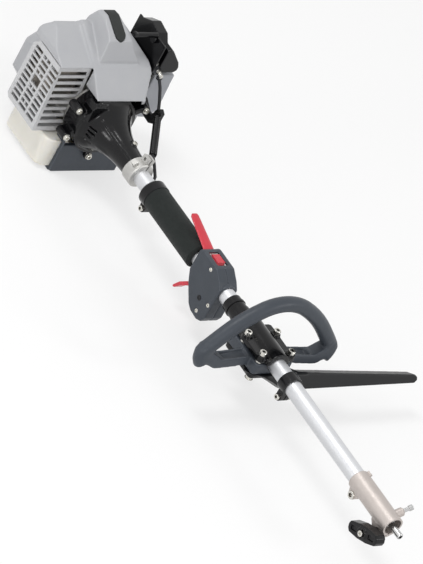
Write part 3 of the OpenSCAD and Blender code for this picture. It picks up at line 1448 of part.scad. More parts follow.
// ---------------------------------------------------------------- output
upper_tube();
shaft_bushes();
coupling_body();
knob_bolt();
harness_band();
spacer_collar();
pinch_screws();
handle_clamp();
loop_handle();
barrier_bar();
handle_screws();
rear_grip();
grip_collar();
control_shell_left();
control_shell_right();
control_screws();
switch_bezel();
throttle_cable();
cable_sleeve();
clamp_ring();
clutch_housing();
ball_bearings();
crankcase();
cylinder_block();
spark_plug();
plug_cap();
ignition_coil();
muffler();
muffler_guard();
engine_shroud();
shroud_pad();
fuel_tank();
tank_stand();
carburettor();
filter_base();
filter_cover();
filter_element();
starter_housing();
engine_screws();
clamp_knob();
lock_pin();
pin_spring();
throttle_trigger();
lockout_lever();
stop_switch();
drive_shaft();
drive_socket();
clutch_drum();
crankshaft();
flywheel();
clutch_shoes();
piston();
connecting_rod();
choke_lever();
throttle_arm();
primer_bulb();
starter_handle();
starter_rope();
starter_pulley();
fuel_cap();
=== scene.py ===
# %% [markdown]
# # The power unit of a split-shaft trimmer
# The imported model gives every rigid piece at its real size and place. This script gives those
# pieces their finish: rounded edges, moulded, cast and turned surfaces, and the small repeated
# parts. Lengths are in metres, as everywhere in Blender, so a millimetre is written as `MM`.

# %% Load the frame
import bmesh
import bpy
import json
import math
from mathutils import Matrix, Vector


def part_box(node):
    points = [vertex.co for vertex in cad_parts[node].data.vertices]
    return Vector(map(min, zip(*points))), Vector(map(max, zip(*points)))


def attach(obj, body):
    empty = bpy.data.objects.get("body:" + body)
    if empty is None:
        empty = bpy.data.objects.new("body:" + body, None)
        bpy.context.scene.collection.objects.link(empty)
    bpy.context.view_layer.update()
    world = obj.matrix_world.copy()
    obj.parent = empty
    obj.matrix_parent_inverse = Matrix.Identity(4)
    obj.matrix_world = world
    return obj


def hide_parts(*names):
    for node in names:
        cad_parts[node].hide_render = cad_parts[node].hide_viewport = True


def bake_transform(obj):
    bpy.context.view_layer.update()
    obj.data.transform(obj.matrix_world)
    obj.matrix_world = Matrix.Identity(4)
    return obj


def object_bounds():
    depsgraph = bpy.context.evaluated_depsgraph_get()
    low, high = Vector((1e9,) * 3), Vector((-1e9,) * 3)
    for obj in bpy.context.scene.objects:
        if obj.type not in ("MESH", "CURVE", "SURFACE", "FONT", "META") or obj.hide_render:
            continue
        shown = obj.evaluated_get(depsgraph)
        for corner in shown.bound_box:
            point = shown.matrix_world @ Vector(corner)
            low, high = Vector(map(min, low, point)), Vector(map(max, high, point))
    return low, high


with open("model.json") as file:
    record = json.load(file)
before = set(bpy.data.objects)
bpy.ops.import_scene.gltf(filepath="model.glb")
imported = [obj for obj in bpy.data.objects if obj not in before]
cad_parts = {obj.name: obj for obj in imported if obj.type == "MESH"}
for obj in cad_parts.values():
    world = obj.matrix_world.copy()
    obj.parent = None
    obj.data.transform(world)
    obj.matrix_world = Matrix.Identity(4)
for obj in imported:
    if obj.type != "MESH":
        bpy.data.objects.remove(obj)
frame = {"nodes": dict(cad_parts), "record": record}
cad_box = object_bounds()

MM = 0.001
NODES = frame["nodes"]
BEHAVIOUR = frame["record"]["behaviour"]
BODY_OF = {node: body for body, members in BEHAVIOUR["bodies"].items() for node in members}
SLOT_OF = {part["node"]: part["material_slot"] for part in frame["record"]["subparts"]}
JOINTS = {joint["name"]: joint for joint in BEHAVIOUR["joints"]}

# %% [markdown]
# ## Camera
# The unit is looked at from its front left and from above, with a long lens, so that the shaft
# runs down to the right. A camera is normally aimed with two angles, but this one is rolled as
# well, so its own directions are given instead: right and back, in the part's frame. Its up
# direction follows from those two.

# %% Camera
CAMERA_AT = Vector((2.9639, -4.1034, 3.3503))
CAMERA_RIGHT = Vector((0.4883, 0.7616, 0.4262)).normalized()
CAMERA_BACK = Vector((0.5476, -0.6476, 0.5300)).normalized()
LENS_MM = 280.2
SENSOR_MM = 36.0
CLIP_END = 60


def new_object(name, data):
    """An object with this data, linked to the scene."""
    thing = bpy.data.objects.new(name, data)
    bpy.context.scene.collection.objects.link(thing)
    return thing


camera_data = bpy.data.cameras.new("camera")
camera_data.lens = LENS_MM
camera_data.sensor_width = SENSOR_MM
camera_data.sensor_fit = "AUTO"
camera_data.clip_end = CLIP_END
camera = new_object("camera", camera_data)
camera_right = (CAMERA_RIGHT - CAMERA_BACK * CAMERA_RIGHT.dot(CAMERA_BACK)).normalized()
camera_up = CAMERA_BACK.cross(camera_right)
turn = Matrix((camera_right, camera_up, CAMERA_BACK)).transposed()
camera.matrix_world = Matrix.Translation(CAMERA_AT) @ turn.to_4x4()
bpy.context.scene.camera = camera
print("camera: lens", LENS_MM, "mm,", round(CAMERA_AT.length, 2), "m from the coupling")

# %% [markdown]
# ## Colour and nodes
# Colours are written as they look on a screen (sRGB hex) and turned to the linear values that
# the shader needs. One small function adds any node with its settings and links. The other
# helpers stand for what the finishes share: a pattern of a real size in millimetres, a range of
# values, a mix of two colours and a bump of a real depth. Every pattern reads Object
# coordinates, so it stays on its piece when the piece moves.

# %% Helpers for nodes
def linear(hex_colour):
    """The linear RGBA of an sRGB colour such as 'C8C7C4'."""
    parts = [int(hex_colour[i:i + 2], 16) / 255 for i in (0, 2, 4)]
    return [p / 12.92 if p <= 0.04045 else ((p + 0.055) / 1.055) ** 2.4 for p in parts] + [1.0]


def add(tree, kind, settings=None, **links):
    """Adds a node. Settings are its own properties; links are sockets or values, by an input's
    name with _ for each space, or by i and its number."""
    node = tree.nodes.new(kind)
    for name, value in (settings or {}).items():
        setattr(node, name, value)
    for name, value in links.items():
        key = int(name[1:]) if name[0] == "i" and name[1:].isdigit() else name.replace("_", " ")
        socket = node.inputs[key]
        if isinstance(value, bpy.types.NodeSocket):
            tree.links.new(value, socket)
        else:
            socket.default_value = value
    return node


def math_node(tree, operation, first, second=0.0):
    """The result of a Math node on two numbers or sockets."""
    return add(tree, "ShaderNodeMath", {"operation": operation}, i0=first, i1=second).outputs[0]


print("nodes: sRGB", "C8C7C4", "is linear", [round(part, 3) for part in linear("C8C7C4")])

# %% Helpers for patterns
EDGE_PATCH_MM = 4.8                          # length of a pale patch along an edge
EDGE_STARTS, EDGE_FULL = 0.52, 0.60     # Pointiness is 0.5 on a flat surface, more on an edge


def object_point(tree, stretch=(1, 1, 1)):
    """Object coordinates in metres, stretched along an axis for brushed or drawn surfaces."""
    place = add(tree, "ShaderNodeTexCoord")
    return add(tree, "ShaderNodeMapping", Vector=place.outputs["Object"], Scale=stretch).outputs[0]


def noise(tree, grain_mm, detail=3.0, rough=0.55, stretch=(1, 1, 1)):
    """Noise whose blotches are about grain_mm across."""
    return add(tree, "ShaderNodeTexNoise", Vector=object_point(tree, stretch),
               Scale=1 / (grain_mm * MM), Detail=detail, Roughness=rough).outputs["Fac"]


def ranged(tree, value, low, high, start=0.3, stop=0.7):
    """Maps a 0 to 1 pattern to a range of values; start and stop are where noise mostly lies."""
    return add(tree, "ShaderNodeMapRange", Value=value, From_Min=start, From_Max=stop,
               To_Min=low, To_Max=high).outputs[0]


def mixed(tree, share, first, second):
    """A colour between two, each a socket or a linear value; share is a 0 to 1 pattern."""
    return add(tree, "ShaderNodeMix", {"data_type": "RGBA"}, i0=share, i6=first, i7=second).outputs[2]


def bump(tree, height, depth_mm):
    """A bump of a real depth."""
    return add(tree, "ShaderNodeBump", Height=height, Distance=depth_mm * MM,
               Strength=1.0).outputs[0]


def paler_edges(tree):
    """Paler in patches a few millimetres long at the outer edges, where Pointiness is high."""
    pointed = add(tree, "ShaderNodeNewGeometry").outputs["Pointiness"]
    edges = ranged(tree, pointed, 0, 1, EDGE_STARTS, EDGE_FULL)
    return math_node(tree, "MULTIPLY", edges, noise(tree, EDGE_PATCH_MM, 4.0, 0.7))


print("patterns: pale_patches of", EDGE_PATCH_MM, "mm on edges")

# %% Helpers for a whole finish
ROUGH_SPREAD = 0.05     # how far roughness goes up and down over a moulded or painted surface


def start_material(name):
    """A new material with its Principled shader; returns the material, its tree and the shader."""
    material = bpy.data.materials.new(name)
    material.use_nodes = True
    return material, material.node_tree, material.node_tree.nodes["Principled BSDF"]


def link_finish(tree, shader, blotch, colours, relief, rough=None):
    """Links a blotched colour, a bump and, if it varies, a roughness to the shader."""
    first, second = colours
    paint = mixed(tree, blotch, linear(first), linear(second))
    tree.links.new(paint, shader.inputs["Base Color"])
    tree.links.new(relief, shader.inputs["Normal"])
    if rough:
        tree.links.new(rough, shader.inputs["Roughness"])
    return paint


def even(shader, **values):
    """Sets what is the same all over the surface, on the shader's own sockets."""
    for name, value in values.items():
        shader.inputs[name.replace("_", " ")].default_value = value


print("finish: roughness goes up and down by", ROUGH_SPREAD)

# %% [markdown]
# ## Moulded plastics
# The covers are injection-moulded polyamide. The mould is spark-eroded, which leaves a fine
# even grain that spreads the highlight, so each plastic is a base colour with slow, faint
# blotches, a roughness that varies a little, and a grain bump a few hundredths deep. Along the
# outer edges, the plastic is painted paler in patches.

# %% Plastics
PLASTIC_BLOTCH_MM = 28


def moulded(name, colour, shade, rough, grain_mm, depth_mm, edge_colour=None, coat=0.0):
    """Moulded plastic: base colour, blotch colour, roughness, grain and, if any, a paler colour in
    patches on the outer edges.
    """
    material, tree, shader = start_material(name)
    blotches = noise(tree, PLASTIC_BLOTCH_MM, 3.0, 0.6)
    gloss = ranged(tree, noise(tree, grain_mm=7), rough - ROUGH_SPREAD, rough + ROUGH_SPREAD)
    paint = link_finish(tree, shader, blotches, (colour, shade),
                        bump(tree, noise(tree, grain_mm, 2.0), depth_mm), gloss)
    # A paler colour painted in patches on the outer edges, where the surface bends most
    if edge_colour:
        tree.links.new(mixed(tree, paler_edges(tree), paint, linear(edge_colour)), shader.inputs["Base Color"])
    even(shader, Specular_IOR_Level=0.3, Coat_Weight=coat, Coat_Roughness=0.12)
    return material


# The last colour given to a plastic is the paler colour painted in patches on its outer edges.
# Cover shells: polyamide in a light neutral grey, spark-eroded, faintly satin.
shroud_plastic = moulded("moulded_polyamide_light_grey", "B2B3B5", "AAABAF", 0.34, 0.6, 0.02, "D0D0D0")
# Filter lid: the same polyamide in a cooler, darker grey.
lid_plastic = moulded("moulded_polyamide_cool_grey", "A2A4A9", "989AA0", 0.38, 0.6, 0.02, "C4C5C8")
# Handle, throttle housing and stand: slate polyamide, a little coarser in its grain.
slate_plastic = moulded("moulded_polyamide_slate", "42474E", "3A3F46", 0.42, 0.7, 0.03, "858B93")
# Clutch housing, clamp, collars, knob, caps and filter base: glass-filled nylon from a polished
# mould, so it mirrors.
gloss_black = moulded("glass_filled_nylon_polished", "08080A", "0C0C0E", 0.17, 1.2, 0.010, "242427")
# Barrier bar, cable and starter pulley: black polyamide from a matte mould.
matte_black = moulded("moulded_polyamide_black", "0E0F11", "141517", 0.38, 0.6, 0.03, "3A3B40")
# Trigger, lockout and stop switch: red acetal, smooth from the mould.
red_plastic = moulded("moulded_acetal_red", "CC3A47", "C23440", 0.34, 0.8, 0.01, "E0545F", 0.15)
# Switch surround: white acetal.
white_plastic = moulded("moulded_acetal_white", "E6E5E2", "DEDDDA", 0.40, 0.8, 0.01)
# Spark plug: glazed ceramic, glassy over a white body.
glazed_ceramic = moulded("glazed_ceramic", "ECEBE6", "E4E3DD", 0.15, 3.0, 0.005, None, 0.5)
print("moulded finishes: 8, blotches of", PLASTIC_BLOTCH_MM, "mm")

# %% [markdown]
# ## Rubber and foam
# The rear grip is a closed-cell foam tube: dull, with no highlight to speak of, and a skin of
# tiny pores. The pad on the carrying hump and the pull handle are solid moulded rubber. Voronoi
# cells give the pores, since noise would give soft hills without edges.

# %% Rubbers
def rubber(name, colour, shade, rough, pore_mm, depth_mm, sheen=0.0):
    """Rubber: dull, with pores cut into its skin."""
    material, tree, shader = start_material(name)
    pores = add(tree, "ShaderNodeTexVoronoi", {"feature": "F1"}, Vector=object_point(tree),
                Scale=1 / (pore_mm * MM)).outputs["Distance"]
    link_finish(tree, shader, noise(tree, grain_mm=12, detail=4.0), (colour, shade),
                bump(tree, pores, depth_mm),
                ranged(tree, noise(tree, grain_mm=5), rough - 0.06, rough + 0.06))
    even(shader, Specular_IOR_Level=0.2, Sheen_Weight=sheen, Sheen_Roughness=0.5)
    return material


# Rear grip: foamed nitrile rubber with a skin of fine pores.
grip_foam = rubber("foamed_nitrile_rubber", "1E2221", "262A29", 0.82, 0.9, 0.10, 0.08)
# Hump pad, plug cap and pull handle: solid moulded rubber, finely grained.
solid_rubber = rubber("moulded_rubber", "2A2C2B", "343635", 0.66, 0.8, 0.05, 0.06)
# Filter element: open-cell polyurethane foam, whose pores are wide and deep.
filter_foam = rubber("open_cell_foam", "3A3A30", "24241E", 0.95, 1.6, 0.5)
# Primer bulb: clear urethane rubber, yellowed a little and smooth.
primer_rubber = rubber("clear_urethane", "D8D8CC", "CACABC", 0.25, 2.0, 0.005)
print("rubbers and foams: 4")

# %% [markdown]
# ## Metals
# Every bare metal is a fully metallic shader with its own colour and default IOR. What tells
# them apart is the surface: the tube is drawn and anodised, so its fine lines run along the
# shaft; castings are grainy; ground steel and zinc plating are close to mirrors. The coupling
# is cast too, but lacquered, so it is half metal and half paint.

# %% Metals
def metal(name, colour, shade, rough, spread, grain_mm, depth_mm, stretch=(1, 1, 1)):
    """Metal: colour, blotch colour, roughness with its spread, and a grain of a real size."""
    material, tree, shader = start_material(name)
    grain = noise(tree, grain_mm, 3.0, 0.6, stretch)
    link_finish(tree, shader, noise(tree, grain_mm=9), (colour, shade),
                bump(tree, grain, depth_mm), ranged(tree, grain, rough - spread, rough + spread))
    even(shader, Metallic=1.0)
    return material


def coated_alloy(name, colour, shade, rough):
    """Die-cast aluminium under a satin lacquer: half metal, half paint."""
    material, tree, shader = start_material(name)
    link_finish(tree, shader, noise(tree, grain_mm=11), (colour, shade),
                bump(tree, noise(tree, grain_mm=0.6, detail=2.0), depth_mm=0.03),
                ranged(tree, noise(tree, grain_mm=3), rough - ROUGH_SPREAD, rough + ROUGH_SPREAD))
    even(shader, Metallic=0.75, Coat_Weight=0.15, Coat_Roughness=0.35)
    return material


# Upper tube: drawn aluminium, satin anodised; the draw lines run along X.
tube_alloy = metal("anodised_aluminium_drawn", "DADBDD", "CFD0D3", 0.46, 0.06, 0.5, 0.006, (0.02, 1, 1))
# Clamp ring, carburettor, crankcase, cylinder and flywheel: die-cast aluminium, lightly blasted.
cast_alloy = metal("die_cast_aluminium", "C9C8C5", "B3B2AF", 0.46, 0.08, 0.7, 0.05)
# Drive shaft and socket, lock pin, bearings and crankshaft: ground steel, a dim mirror.
ground_steel = metal("ground_steel", "C8C8C8", "B4B4B3", 0.28, 0.06, 0.6, 0.008)
# Screws, the knob's stud and the throttle arm: bright zinc plating, slightly yellow.
zinc_plate = metal("zinc_plated_steel", "DCDAD3", "C6C4BE", 0.24, 0.06, 0.8, 0.01)
# Muffler, coil and clutch shoes: pressed steel that heat has browned.
browned_steel = metal("heat_browned_steel", "A8A29B", "7F7972", 0.46, 0.10, 1.4, 0.04)
# Coupling body: the same casting under a warm grey lacquer.
coupling_coat = coated_alloy("lacquered_die_cast_aluminium", "C2BAB5", "B5ADA8", 0.50)
print("metals: 6")

# %% [markdown]
# ## Fuel tank and rope
# The tank is blow-moulded polyethylene: milky, so light goes a little way into it and its edges
# glow. Subsurface scattering gives that without making it glass-clear. The starter rope is
# braided polyester, whose strands wind round it as slanted stripes.

# %% Other finishes
def milky_plastic(name, colour, shade):
    """Blow-moulded polyethylene: milky, with light scattered inside its wall."""
    material, tree, shader = start_material(name)
    link_finish(tree, shader, noise(tree, grain_mm=30, detail=2.0), (colour, shade),
                bump(tree, noise(tree, grain_mm=1.5), depth_mm=0.02),
                ranged(tree, noise(tree, grain_mm=6), 0.38, 0.50))
    even(shader, Subsurface_Weight=0.35, Subsurface_Radius=(0.9, 0.8, 0.6), Subsurface_Scale=4 * MM)
    return material


def braided(name, colour, shade, pitch_mm):
    """Braided cord: strands that wind round it, as waves along its length."""
    material, tree, shader = start_material(name)
    strands = add(tree, "ShaderNodeTexWave", {"bands_direction": "DIAGONAL"}, Distortion=0.4,
                  Vector=object_point(tree), Scale=1 / (pitch_mm * MM * 6)).outputs["Fac"]
    link_finish(tree, shader, strands, (shade, colour), bump(tree, strands, depth_mm=0.3))
    even(shader, Roughness=0.8)
    return material


tank_plastic = milky_plastic("blow_moulded_polyethylene", "EAE7DF", "E2DED4")
rope_braid = braided("braided_polyester_rope", "DAD9D2", "B9B8B0", 1.6)
print("tank and rope: 2 finishes")

# %% [markdown]
# ## Give each node its finish
# The model's record names a material slot for each node, such as `zinc_screws`. One table says
# which finish stands for which slot, so a piece that is made later takes its finish from the
# node that it replaces.

# %% Finish of each slot
FINISH = {
    "tube_alloy": tube_alloy, "cast_alloy": cast_alloy, "coupling_coat": coupling_coat,
    "steel": ground_steel, "zinc_screws": zinc_plate, "iron": browned_steel,
    "black_nylon": gloss_black, "black_plastic": matte_black, "slate_plastic": slate_plastic,
    "shroud_plastic": shroud_plastic, "cover_grey": lid_plastic, "tank_plastic": tank_plastic,
    "red_plastic": red_plastic, "white_plastic": white_plastic, "grip_rubber": grip_foam,
    "hard_rubber": solid_rubber, "primer_rubber": primer_rubber, "foam": filter_foam,
    "ceramic": glazed_ceramic, "rope_fibre": rope_braid,
}
for node, piece in NODES.items():
    piece.data.materials.clear()
    piece.data.materials.append(FINISH[SLOT_OF[node]])
print("finishes:", len(FINISH), "on", len(NODES), "nodes")

# %% [markdown]
# ## Rounded edges
# No moulded or cast edge is a knife edge: it has a radius, from a fifth of a millimetre on a
# pressed part to almost one on a casting, and that radius is what catches the light. The frame's
# own mesh stays as it is. Each piece gets a copy with its points merged and its flat triangles
# joined, and a Bevel modifier rounds every edge that is sharper than a given angle. Bevelling by
# hand would give the same, but only for one piece at a time.

# %% Copy a frame piece
MERGE = 0.004 * MM      # points closer than this are one point
FLAT_DEG = 1.0          # triangles that bend less than this are one flat face


def merged_shape(node):
    """A frame node's mesh in bmesh, its loose triangles joined at their points."""
    shape = bmesh.new()
    shape.from_mesh(NODES[node].data)
    bmesh.ops.remove_doubles(shape, verts=shape.verts, dist=MERGE)
    return shape


def merged_copy(node, name):
    """A copy of a frame node's mesh with flat triangles joined and no normals of its own."""
    mesh = bpy.data.meshes.new(name)
    shape = merged_shape(node)
    bmesh.ops.dissolve_degenerate(shape, edges=shape.edges, dist=MERGE)
    bmesh.ops.dissolve_limit(shape, angle_limit=math.radians(FLAT_DEG), verts=shape.verts,
                             edges=shape.edges)
    shape.to_mesh(mesh)
    shape.free()
    for layer in ("custom_normal", "sharp_edge", "sharp_face"):
        if layer in mesh.attributes:
            mesh.attributes.remove(mesh.attributes[layer])
    return mesh


def place(name, mesh, material, body, slot):
    """Links a finished mesh, gives it its material and, if a body is named, lets it ride there."""
    for polygon in mesh.polygons:
        polygon.use_smooth = True
        polygon.material_index = 0
    mesh.materials.clear()
    mesh.materials.append(material)
    piece = new_object(name, mesh)
    if body:
        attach(piece, body)
    return piece


def stand_in(node, mesh):
    """Places a mesh as the finished form of a node, with the node's finish and body."""
    piece = place(node + "_finished", mesh, FINISH[SLOT_OF[node]], BODY_OF[node], SLOT_OF[node])
    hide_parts(node)
    return piece


print("copies: points closer than", MERGE / MM, "mm are merged")

# %% Round the edges of simple pieces
SHARP_DEG = 38      # an edge that bends more than this stays a line in the shading
BEVEL_DEG = 32      # an edge that bends more than this is rounded
BEVEL_STEPS = 2


def rounded(node, radius_mm):
    """Replaces a frame node with a copy whose edges have this radius."""
    mesh = merged_copy(node, node + "_finished")
    piece = stand_in(node, mesh)
    mesh.set_sharp_from_angle(angle=math.radians(SHARP_DEG))
    if radius_mm:
        bevel = piece.modifiers.new("edge_radius", "BEVEL")
        bevel.width = radius_mm * MM
        bevel.segments = BEVEL_STEPS
        bevel.limit_method = "ANGLE"
        bevel.angle_limit = math.radians(BEVEL_DEG)
        bevel.use_clamp_overlap = True
        bevel.harden_normals = True


# The radius of each piece's edges in millimetres; a bent cable and a bulb have no edge
EDGE_MM = {
    "muffler_guard": 0.8, "shroud_pad": 0.6, "coupling_body": 0.8, "clamp_ring": 0.8,
    "harness_band": 0.5, "spacer_collar": 0.5, "grip_collar": 0.7, "rear_grip": 0.6,
    "stop_switch": 0.4, "switch_bezel": 0.3, "carburettor": 0.6, "fuel_cap": 0.5,
    "starter_handle": 0.6, "plug_cap": 0.5, "muffler": 0.8, "cylinder_block": 0.4,
    "crankcase": 0.6, "upper_tube": 0.2, "drive_socket": 0.2, "lock_pin": 0.4,
    "knob_bolt": 0.3, "throttle_arm": 0.2, "throttle_cable": 0.0, "primer_bulb": 0.0,
    "starter_pulley": 0.4, "flywheel": 0.3, "ignition_coil": 0.4,
}
for node, radius in EDGE_MM.items():
    rounded(node, radius)
print("rounded pieces:", len(EDGE_MM))

# %% [markdown]
# ## Soft moulded forms
# Covers and handles have big radii that run into each other, which a Bevel modifier can't make
# where several edges meet. A Remesh modifier in its voxel mode lays an even skin over the merged
# copy, and a Smooth modifier then draws each edge in, the more the more often it is repeated.
# The voxel is about half of the smallest wall, so no wall gets lost.

# %% Helpers for soft forms
def baked(thing, name):
    """The plain mesh that an object's modifiers make; the object itself is removed."""
    seen = thing.evaluated_get(bpy.context.evaluated_depsgraph_get())
    mesh = bpy.data.meshes.new_from_object(seen)
    mesh.name = name
    bpy.data.objects.remove(thing)
    return mesh


def softened(node, voxel_mm, rounds, cutter=None):
    """Replaces a frame node with an evenly meshed copy whose edges have flowed round."""
    rough = new_object(node + "_rough", merged_copy(node, node + "_rough"))
    if cutter:
        cut = rough.modifiers.new("cut", "BOOLEAN")
        cut.operation = "DIFFERENCE"
        cut.object = cutter
    skin = rough.modifiers.new("skin", "REMESH")
    skin.mode = "VOXEL"
    skin.voxel_size = voxel_mm * MM
    flow = rough.modifiers.new("flow", "SMOOTH")
    flow.factor = 0.5
    flow.iterations = rounds
    return stand_in(node, baked(rough, node + "_finished"))


print("soft forms: skin and flow")

# %% [markdown]
# ## Vents of the clutch housing
# The housing's dome has a fan of cooling slots beside the one that is open already. They are cut
# before the skin is laid, so that their rims flow round like every other edge. The cutter is
# three thin blocks, turned a little more from one to the next; it is removed after the cut.

# %% Make the cutter of the vents
VENT_AT_MM = (-821.5, -36, -6.5)        # the open vent in the dome's wall
VENT_MM = (15, 10, 2.6)                 # along the slot, into the wall, across the slot
VENT_WALL_DEG = 32                      # how far the dome's wall is turned from the shaft
VENT_FAN = ((-9.5, 14), (7.0, 8), (14.0, 3))    # mm above the open vent, tilt in degrees


def vent_cutter():
    """Three slots that fan out beside the open vent of the clutch housing's dome."""
    shape = bmesh.new()
    wall = Matrix.Rotation(math.radians(VENT_WALL_DEG), 4, "Z")
    size = Matrix.Diagonal([side * MM for side in VENT_MM] + [1])
    for above_mm, tilt in VENT_FAN:
        centre = (Vector(VENT_AT_MM) + Vector((0, 0, above_mm))) * MM
        slot = wall @ Matrix.Rotation(math.radians(tilt), 4, "Y") @ size
        bmesh.ops.create_cube(shape, size=1, matrix=Matrix.Translation(centre) @ slot)
    mesh = bpy.data.meshes.new("vent_cutter")
    shape.to_mesh(mesh)
    shape.free()
    return new_object("vent_cutter", mesh)


vents = vent_cutter()
print("vent cutter:", len(VENT_FAN), "slots of", VENT_MM[0], "x", VENT_MM[2], "mm")

# %% Remesh and smooth the covers and handles
# Voxel in millimetres and rounds of smoothing, more where the real piece flows more
SOFT_MM = {
    "engine_shroud": (1.2, 9), "clutch_housing": (1.0, 16), "filter_cover": (1.2, 14),
    "starter_housing": (1.3, 6), "fuel_tank": (1.2, 10), "loop_handle": (1.1, 22),
    "handle_clamp": (0.9, 6), "barrier_bar": (0.9, 22), "clamp_knob": (0.6, 8),
    "control_shell_left": (0.9, 14), "control_shell_right": (0.9, 14), "tank_stand": (1.1, 4),
    "filter_base": (0.9, 5), "throttle_trigger": (0.6, 7), "lockout_lever": (0.6, 7),
    "choke_lever": (0.6, 6),
}
for node, (voxel, rounds) in SOFT_MM.items():
    piece = softened(node, voxel, rounds, vents if node == "clutch_housing" else None)
    print(node, "faces:", len(piece.data.polygons))
bpy.data.objects.remove(vents)

# %% [markdown]
# ## Corners of the loop handle
# The loop's arch runs into its base in one sweep, rounder than the smoothing of a whole piece
# can give without wearing its other edges away. So only the points near each corner are
# smoothed again, in rings that get smaller and are repeated more often, which leaves no step at
# the rim of a ring.

# %% Round the corners of the loop handle
CORNER_RINGS = ((34, 12), (27, 30), (20, 60))   # reach in mm, rounds of smoothing


def flowed_corner(piece, corner):
    """Smooths a mesh around a point, ring by ring."""
    shape = bmesh.new()
    shape.from_mesh(piece.data)
    for reach_mm, rounds in CORNER_RINGS:
        near = [v for v in shape.verts if (v.co - corner).length < reach_mm * MM]
        for _ in range(rounds):
            bmesh.ops.smooth_vert(shape, verts=near, factor=0.5, use_axis_x=True, use_axis_y=True,
                                  use_axis_z=True)
    shape.to_mesh(piece.data)
    shape.free()


loop = bpy.data.objects["loop_handle_finished"]
for side in (-1, 1):
    corner = max((v.co for v in loop.data.vertices), key=lambda p: p.y * side).copy()
    flowed_corner(loop, corner)
    print("loop corner at mm", [round(c / MM) for c in corner])

# %% [markdown]
# ## Where the screws are
# The screws are all socket-head cap screws: a plain head with a broken edge, a hexagon socket,
# a washer under it and a shank. Their places and sizes could be typed in, but the frame has them
# already: every loose shell of a screw node is one screw. Its axis is the direction in which its
# points spread most, found by asking again and again how far each point lies along the last
# guess (the power method), and the wide end is the head. A screw whose nut is as wide as its
# head is wide at both ends, so it is read as one thick rod, whose middle lies in its clamp and
# shows only where the clamp is slit.

# %% Read a straight shape from its points
def shells(node):
    """The loose shells of a node, as lists of points."""
    shape = merged_shape(node)
    seen, found = set(), []
    for start in shape.verts:
        if start.index in seen:
            continue
        group, queue = [], [start]
        seen.add(start.index)
        while queue:
            vert = queue.pop()
            group.append(vert.co.copy())
            for edge in vert.link_edges:
                other = edge.other_vert(vert)
                if other.index not in seen:
                    seen.add(other.index)
                    queue.append(other)
        found.append(group)
    shape.free()
    return found


def middle_of(points):
    """The mean of some points."""
    return sum(points, Vector()) / len(points)


def main_axis(points, rounds):
    """The direction in which a long shape's points spread most, found in so many rounds."""
    centre = middle_of(points)
    axis = (max(points, key=lambda p: (p - centre).length) - centre).normalized()
    for _ in range(rounds):
        axis = sum((((p - centre).dot(axis)) * (p - centre) for p in points), Vector()).normalized()
    return axis


def profile(points, axis):
    """How far each point lies along an axis through the middle, and how far from it."""
    centre = middle_of(points)
    along = [(p - centre).dot(axis) for p in points]
    return along, [((p - centre) - axis * a).length for p, a in zip(points, along)]


print("screw shells:", {node: len(shells(node)) for node in NODES if node.endswith("_screws")})

# %% Read a screw from its shell
HEAD_SHARE = 0.9            # points beyond this share of the widest radius are the head's
SHANK_GAP = 0.5 * MM        # points this far below the seat are the shank's
SHANK_SHARE = 0.55          # the shank's radius as a share of the head's, where none is seen


def screw_place(points):
    """Seat and direction of one screw, from shank to head, and its sizes."""
    axis = main_axis(points, rounds=12)
    along, radius = profile(points, axis)
    wide = max(radius)
    rim = [a for a, r in zip(along, radius) if r > HEAD_SHARE * wide]
    if sum(rim) / len(rim) < (max(along) + min(along)) / 2:
        axis = -axis
        along = [-a for a in along]
        rim = [-a for a in rim]
    seat = min(rim)
    shank = [r for a, r in zip(along, radius) if a < seat - SHANK_GAP]
    return {"seat": middle_of(points) + axis * seat, "axis": axis, "head": wide,
            "height": max(along) - seat, "shank": max(shank) if shank else wide * SHANK_SHARE,
            "length": seat - min(along)}


first = screw_place(shells("control_screws")[0])
print("a control screw: head radius mm", round(first["head"] / MM, 2),
      "shank length mm", round(first["length"] / MM, 2))

# %% [markdown]
# ## A tree for the screw
# One Geometry Nodes tree makes such a screw from its sizes and puts it on every point of a mesh,
# turned to the direction that each point carries. A mesh made in Python would do for one screw.
# The tree keeps its sizes as named inputs, so one recipe serves every screw on the unit. It ends
# with Realize Instances, which turns the copies into a real mesh, and Set Material.

# %% Helpers for Geometry Nodes trees
def new_tree(name, sizes):
    """A Geometry Nodes tree with a mesh in and out and one named input for each size."""
    tree = bpy.data.node_groups.new(name, "GeometryNodeTree")
    tree.interface.new_socket("Geometry", in_out="INPUT", socket_type="NodeSocketGeometry")
    for size, value in sizes.items():
        kind = "NodeSocketInt" if isinstance(value, int) else "NodeSocketFloat"
        tree.interface.new_socket(size, in_out="INPUT", socket_type=kind).default_value = value
    tree.interface.new_socket("Geometry", in_out="OUTPUT", socket_type="NodeSocketGeometry")
    return tree, tree.nodes.new("NodeGroupInput").outputs


def end_tree(tree, geometry, material):
    """Makes instances real, gives them their material and sends them out of the tree."""
    real = add(tree, "GeometryNodeRealizeInstances", Geometry=geometry)
    coated = add(tree, "GeometryNodeSetMaterial", Geometry=real.outputs[0], Material=material)
    result = tree.nodes.new("NodeGroupOutput")
    tree.links.new(coated.outputs[0], result.inputs["Geometry"])
    print("tree", tree.name, "has", len(tree.nodes), "nodes")


def on_points(tree, points, shape):
    """Copies a shape to every point, its Z turned to the direction that the point carries."""
    axis = add(tree, "GeometryNodeInputNamedAttribute", {"data_type": "FLOAT_VECTOR"}, Name="axis")
    turned = add(tree, "FunctionNodeAlignRotationToVector", {"axis": "Z"},
                 Vector=axis.outputs["Attribute"])
    return add(tree, "GeometryNodeInstanceOnPoints", Points=points, Instance=shape,
               Rotation=turned.outputs["Rotation"]).outputs["Instances"]


def raised(tree, mesh, height):
    """Moves a mesh up its own Z by a height."""
    move = add(tree, "ShaderNodeCombineXYZ", Z=height)
    return add(tree, "GeometryNodeTransform", Geometry=mesh, Translation=move.outputs[0]).outputs[0]


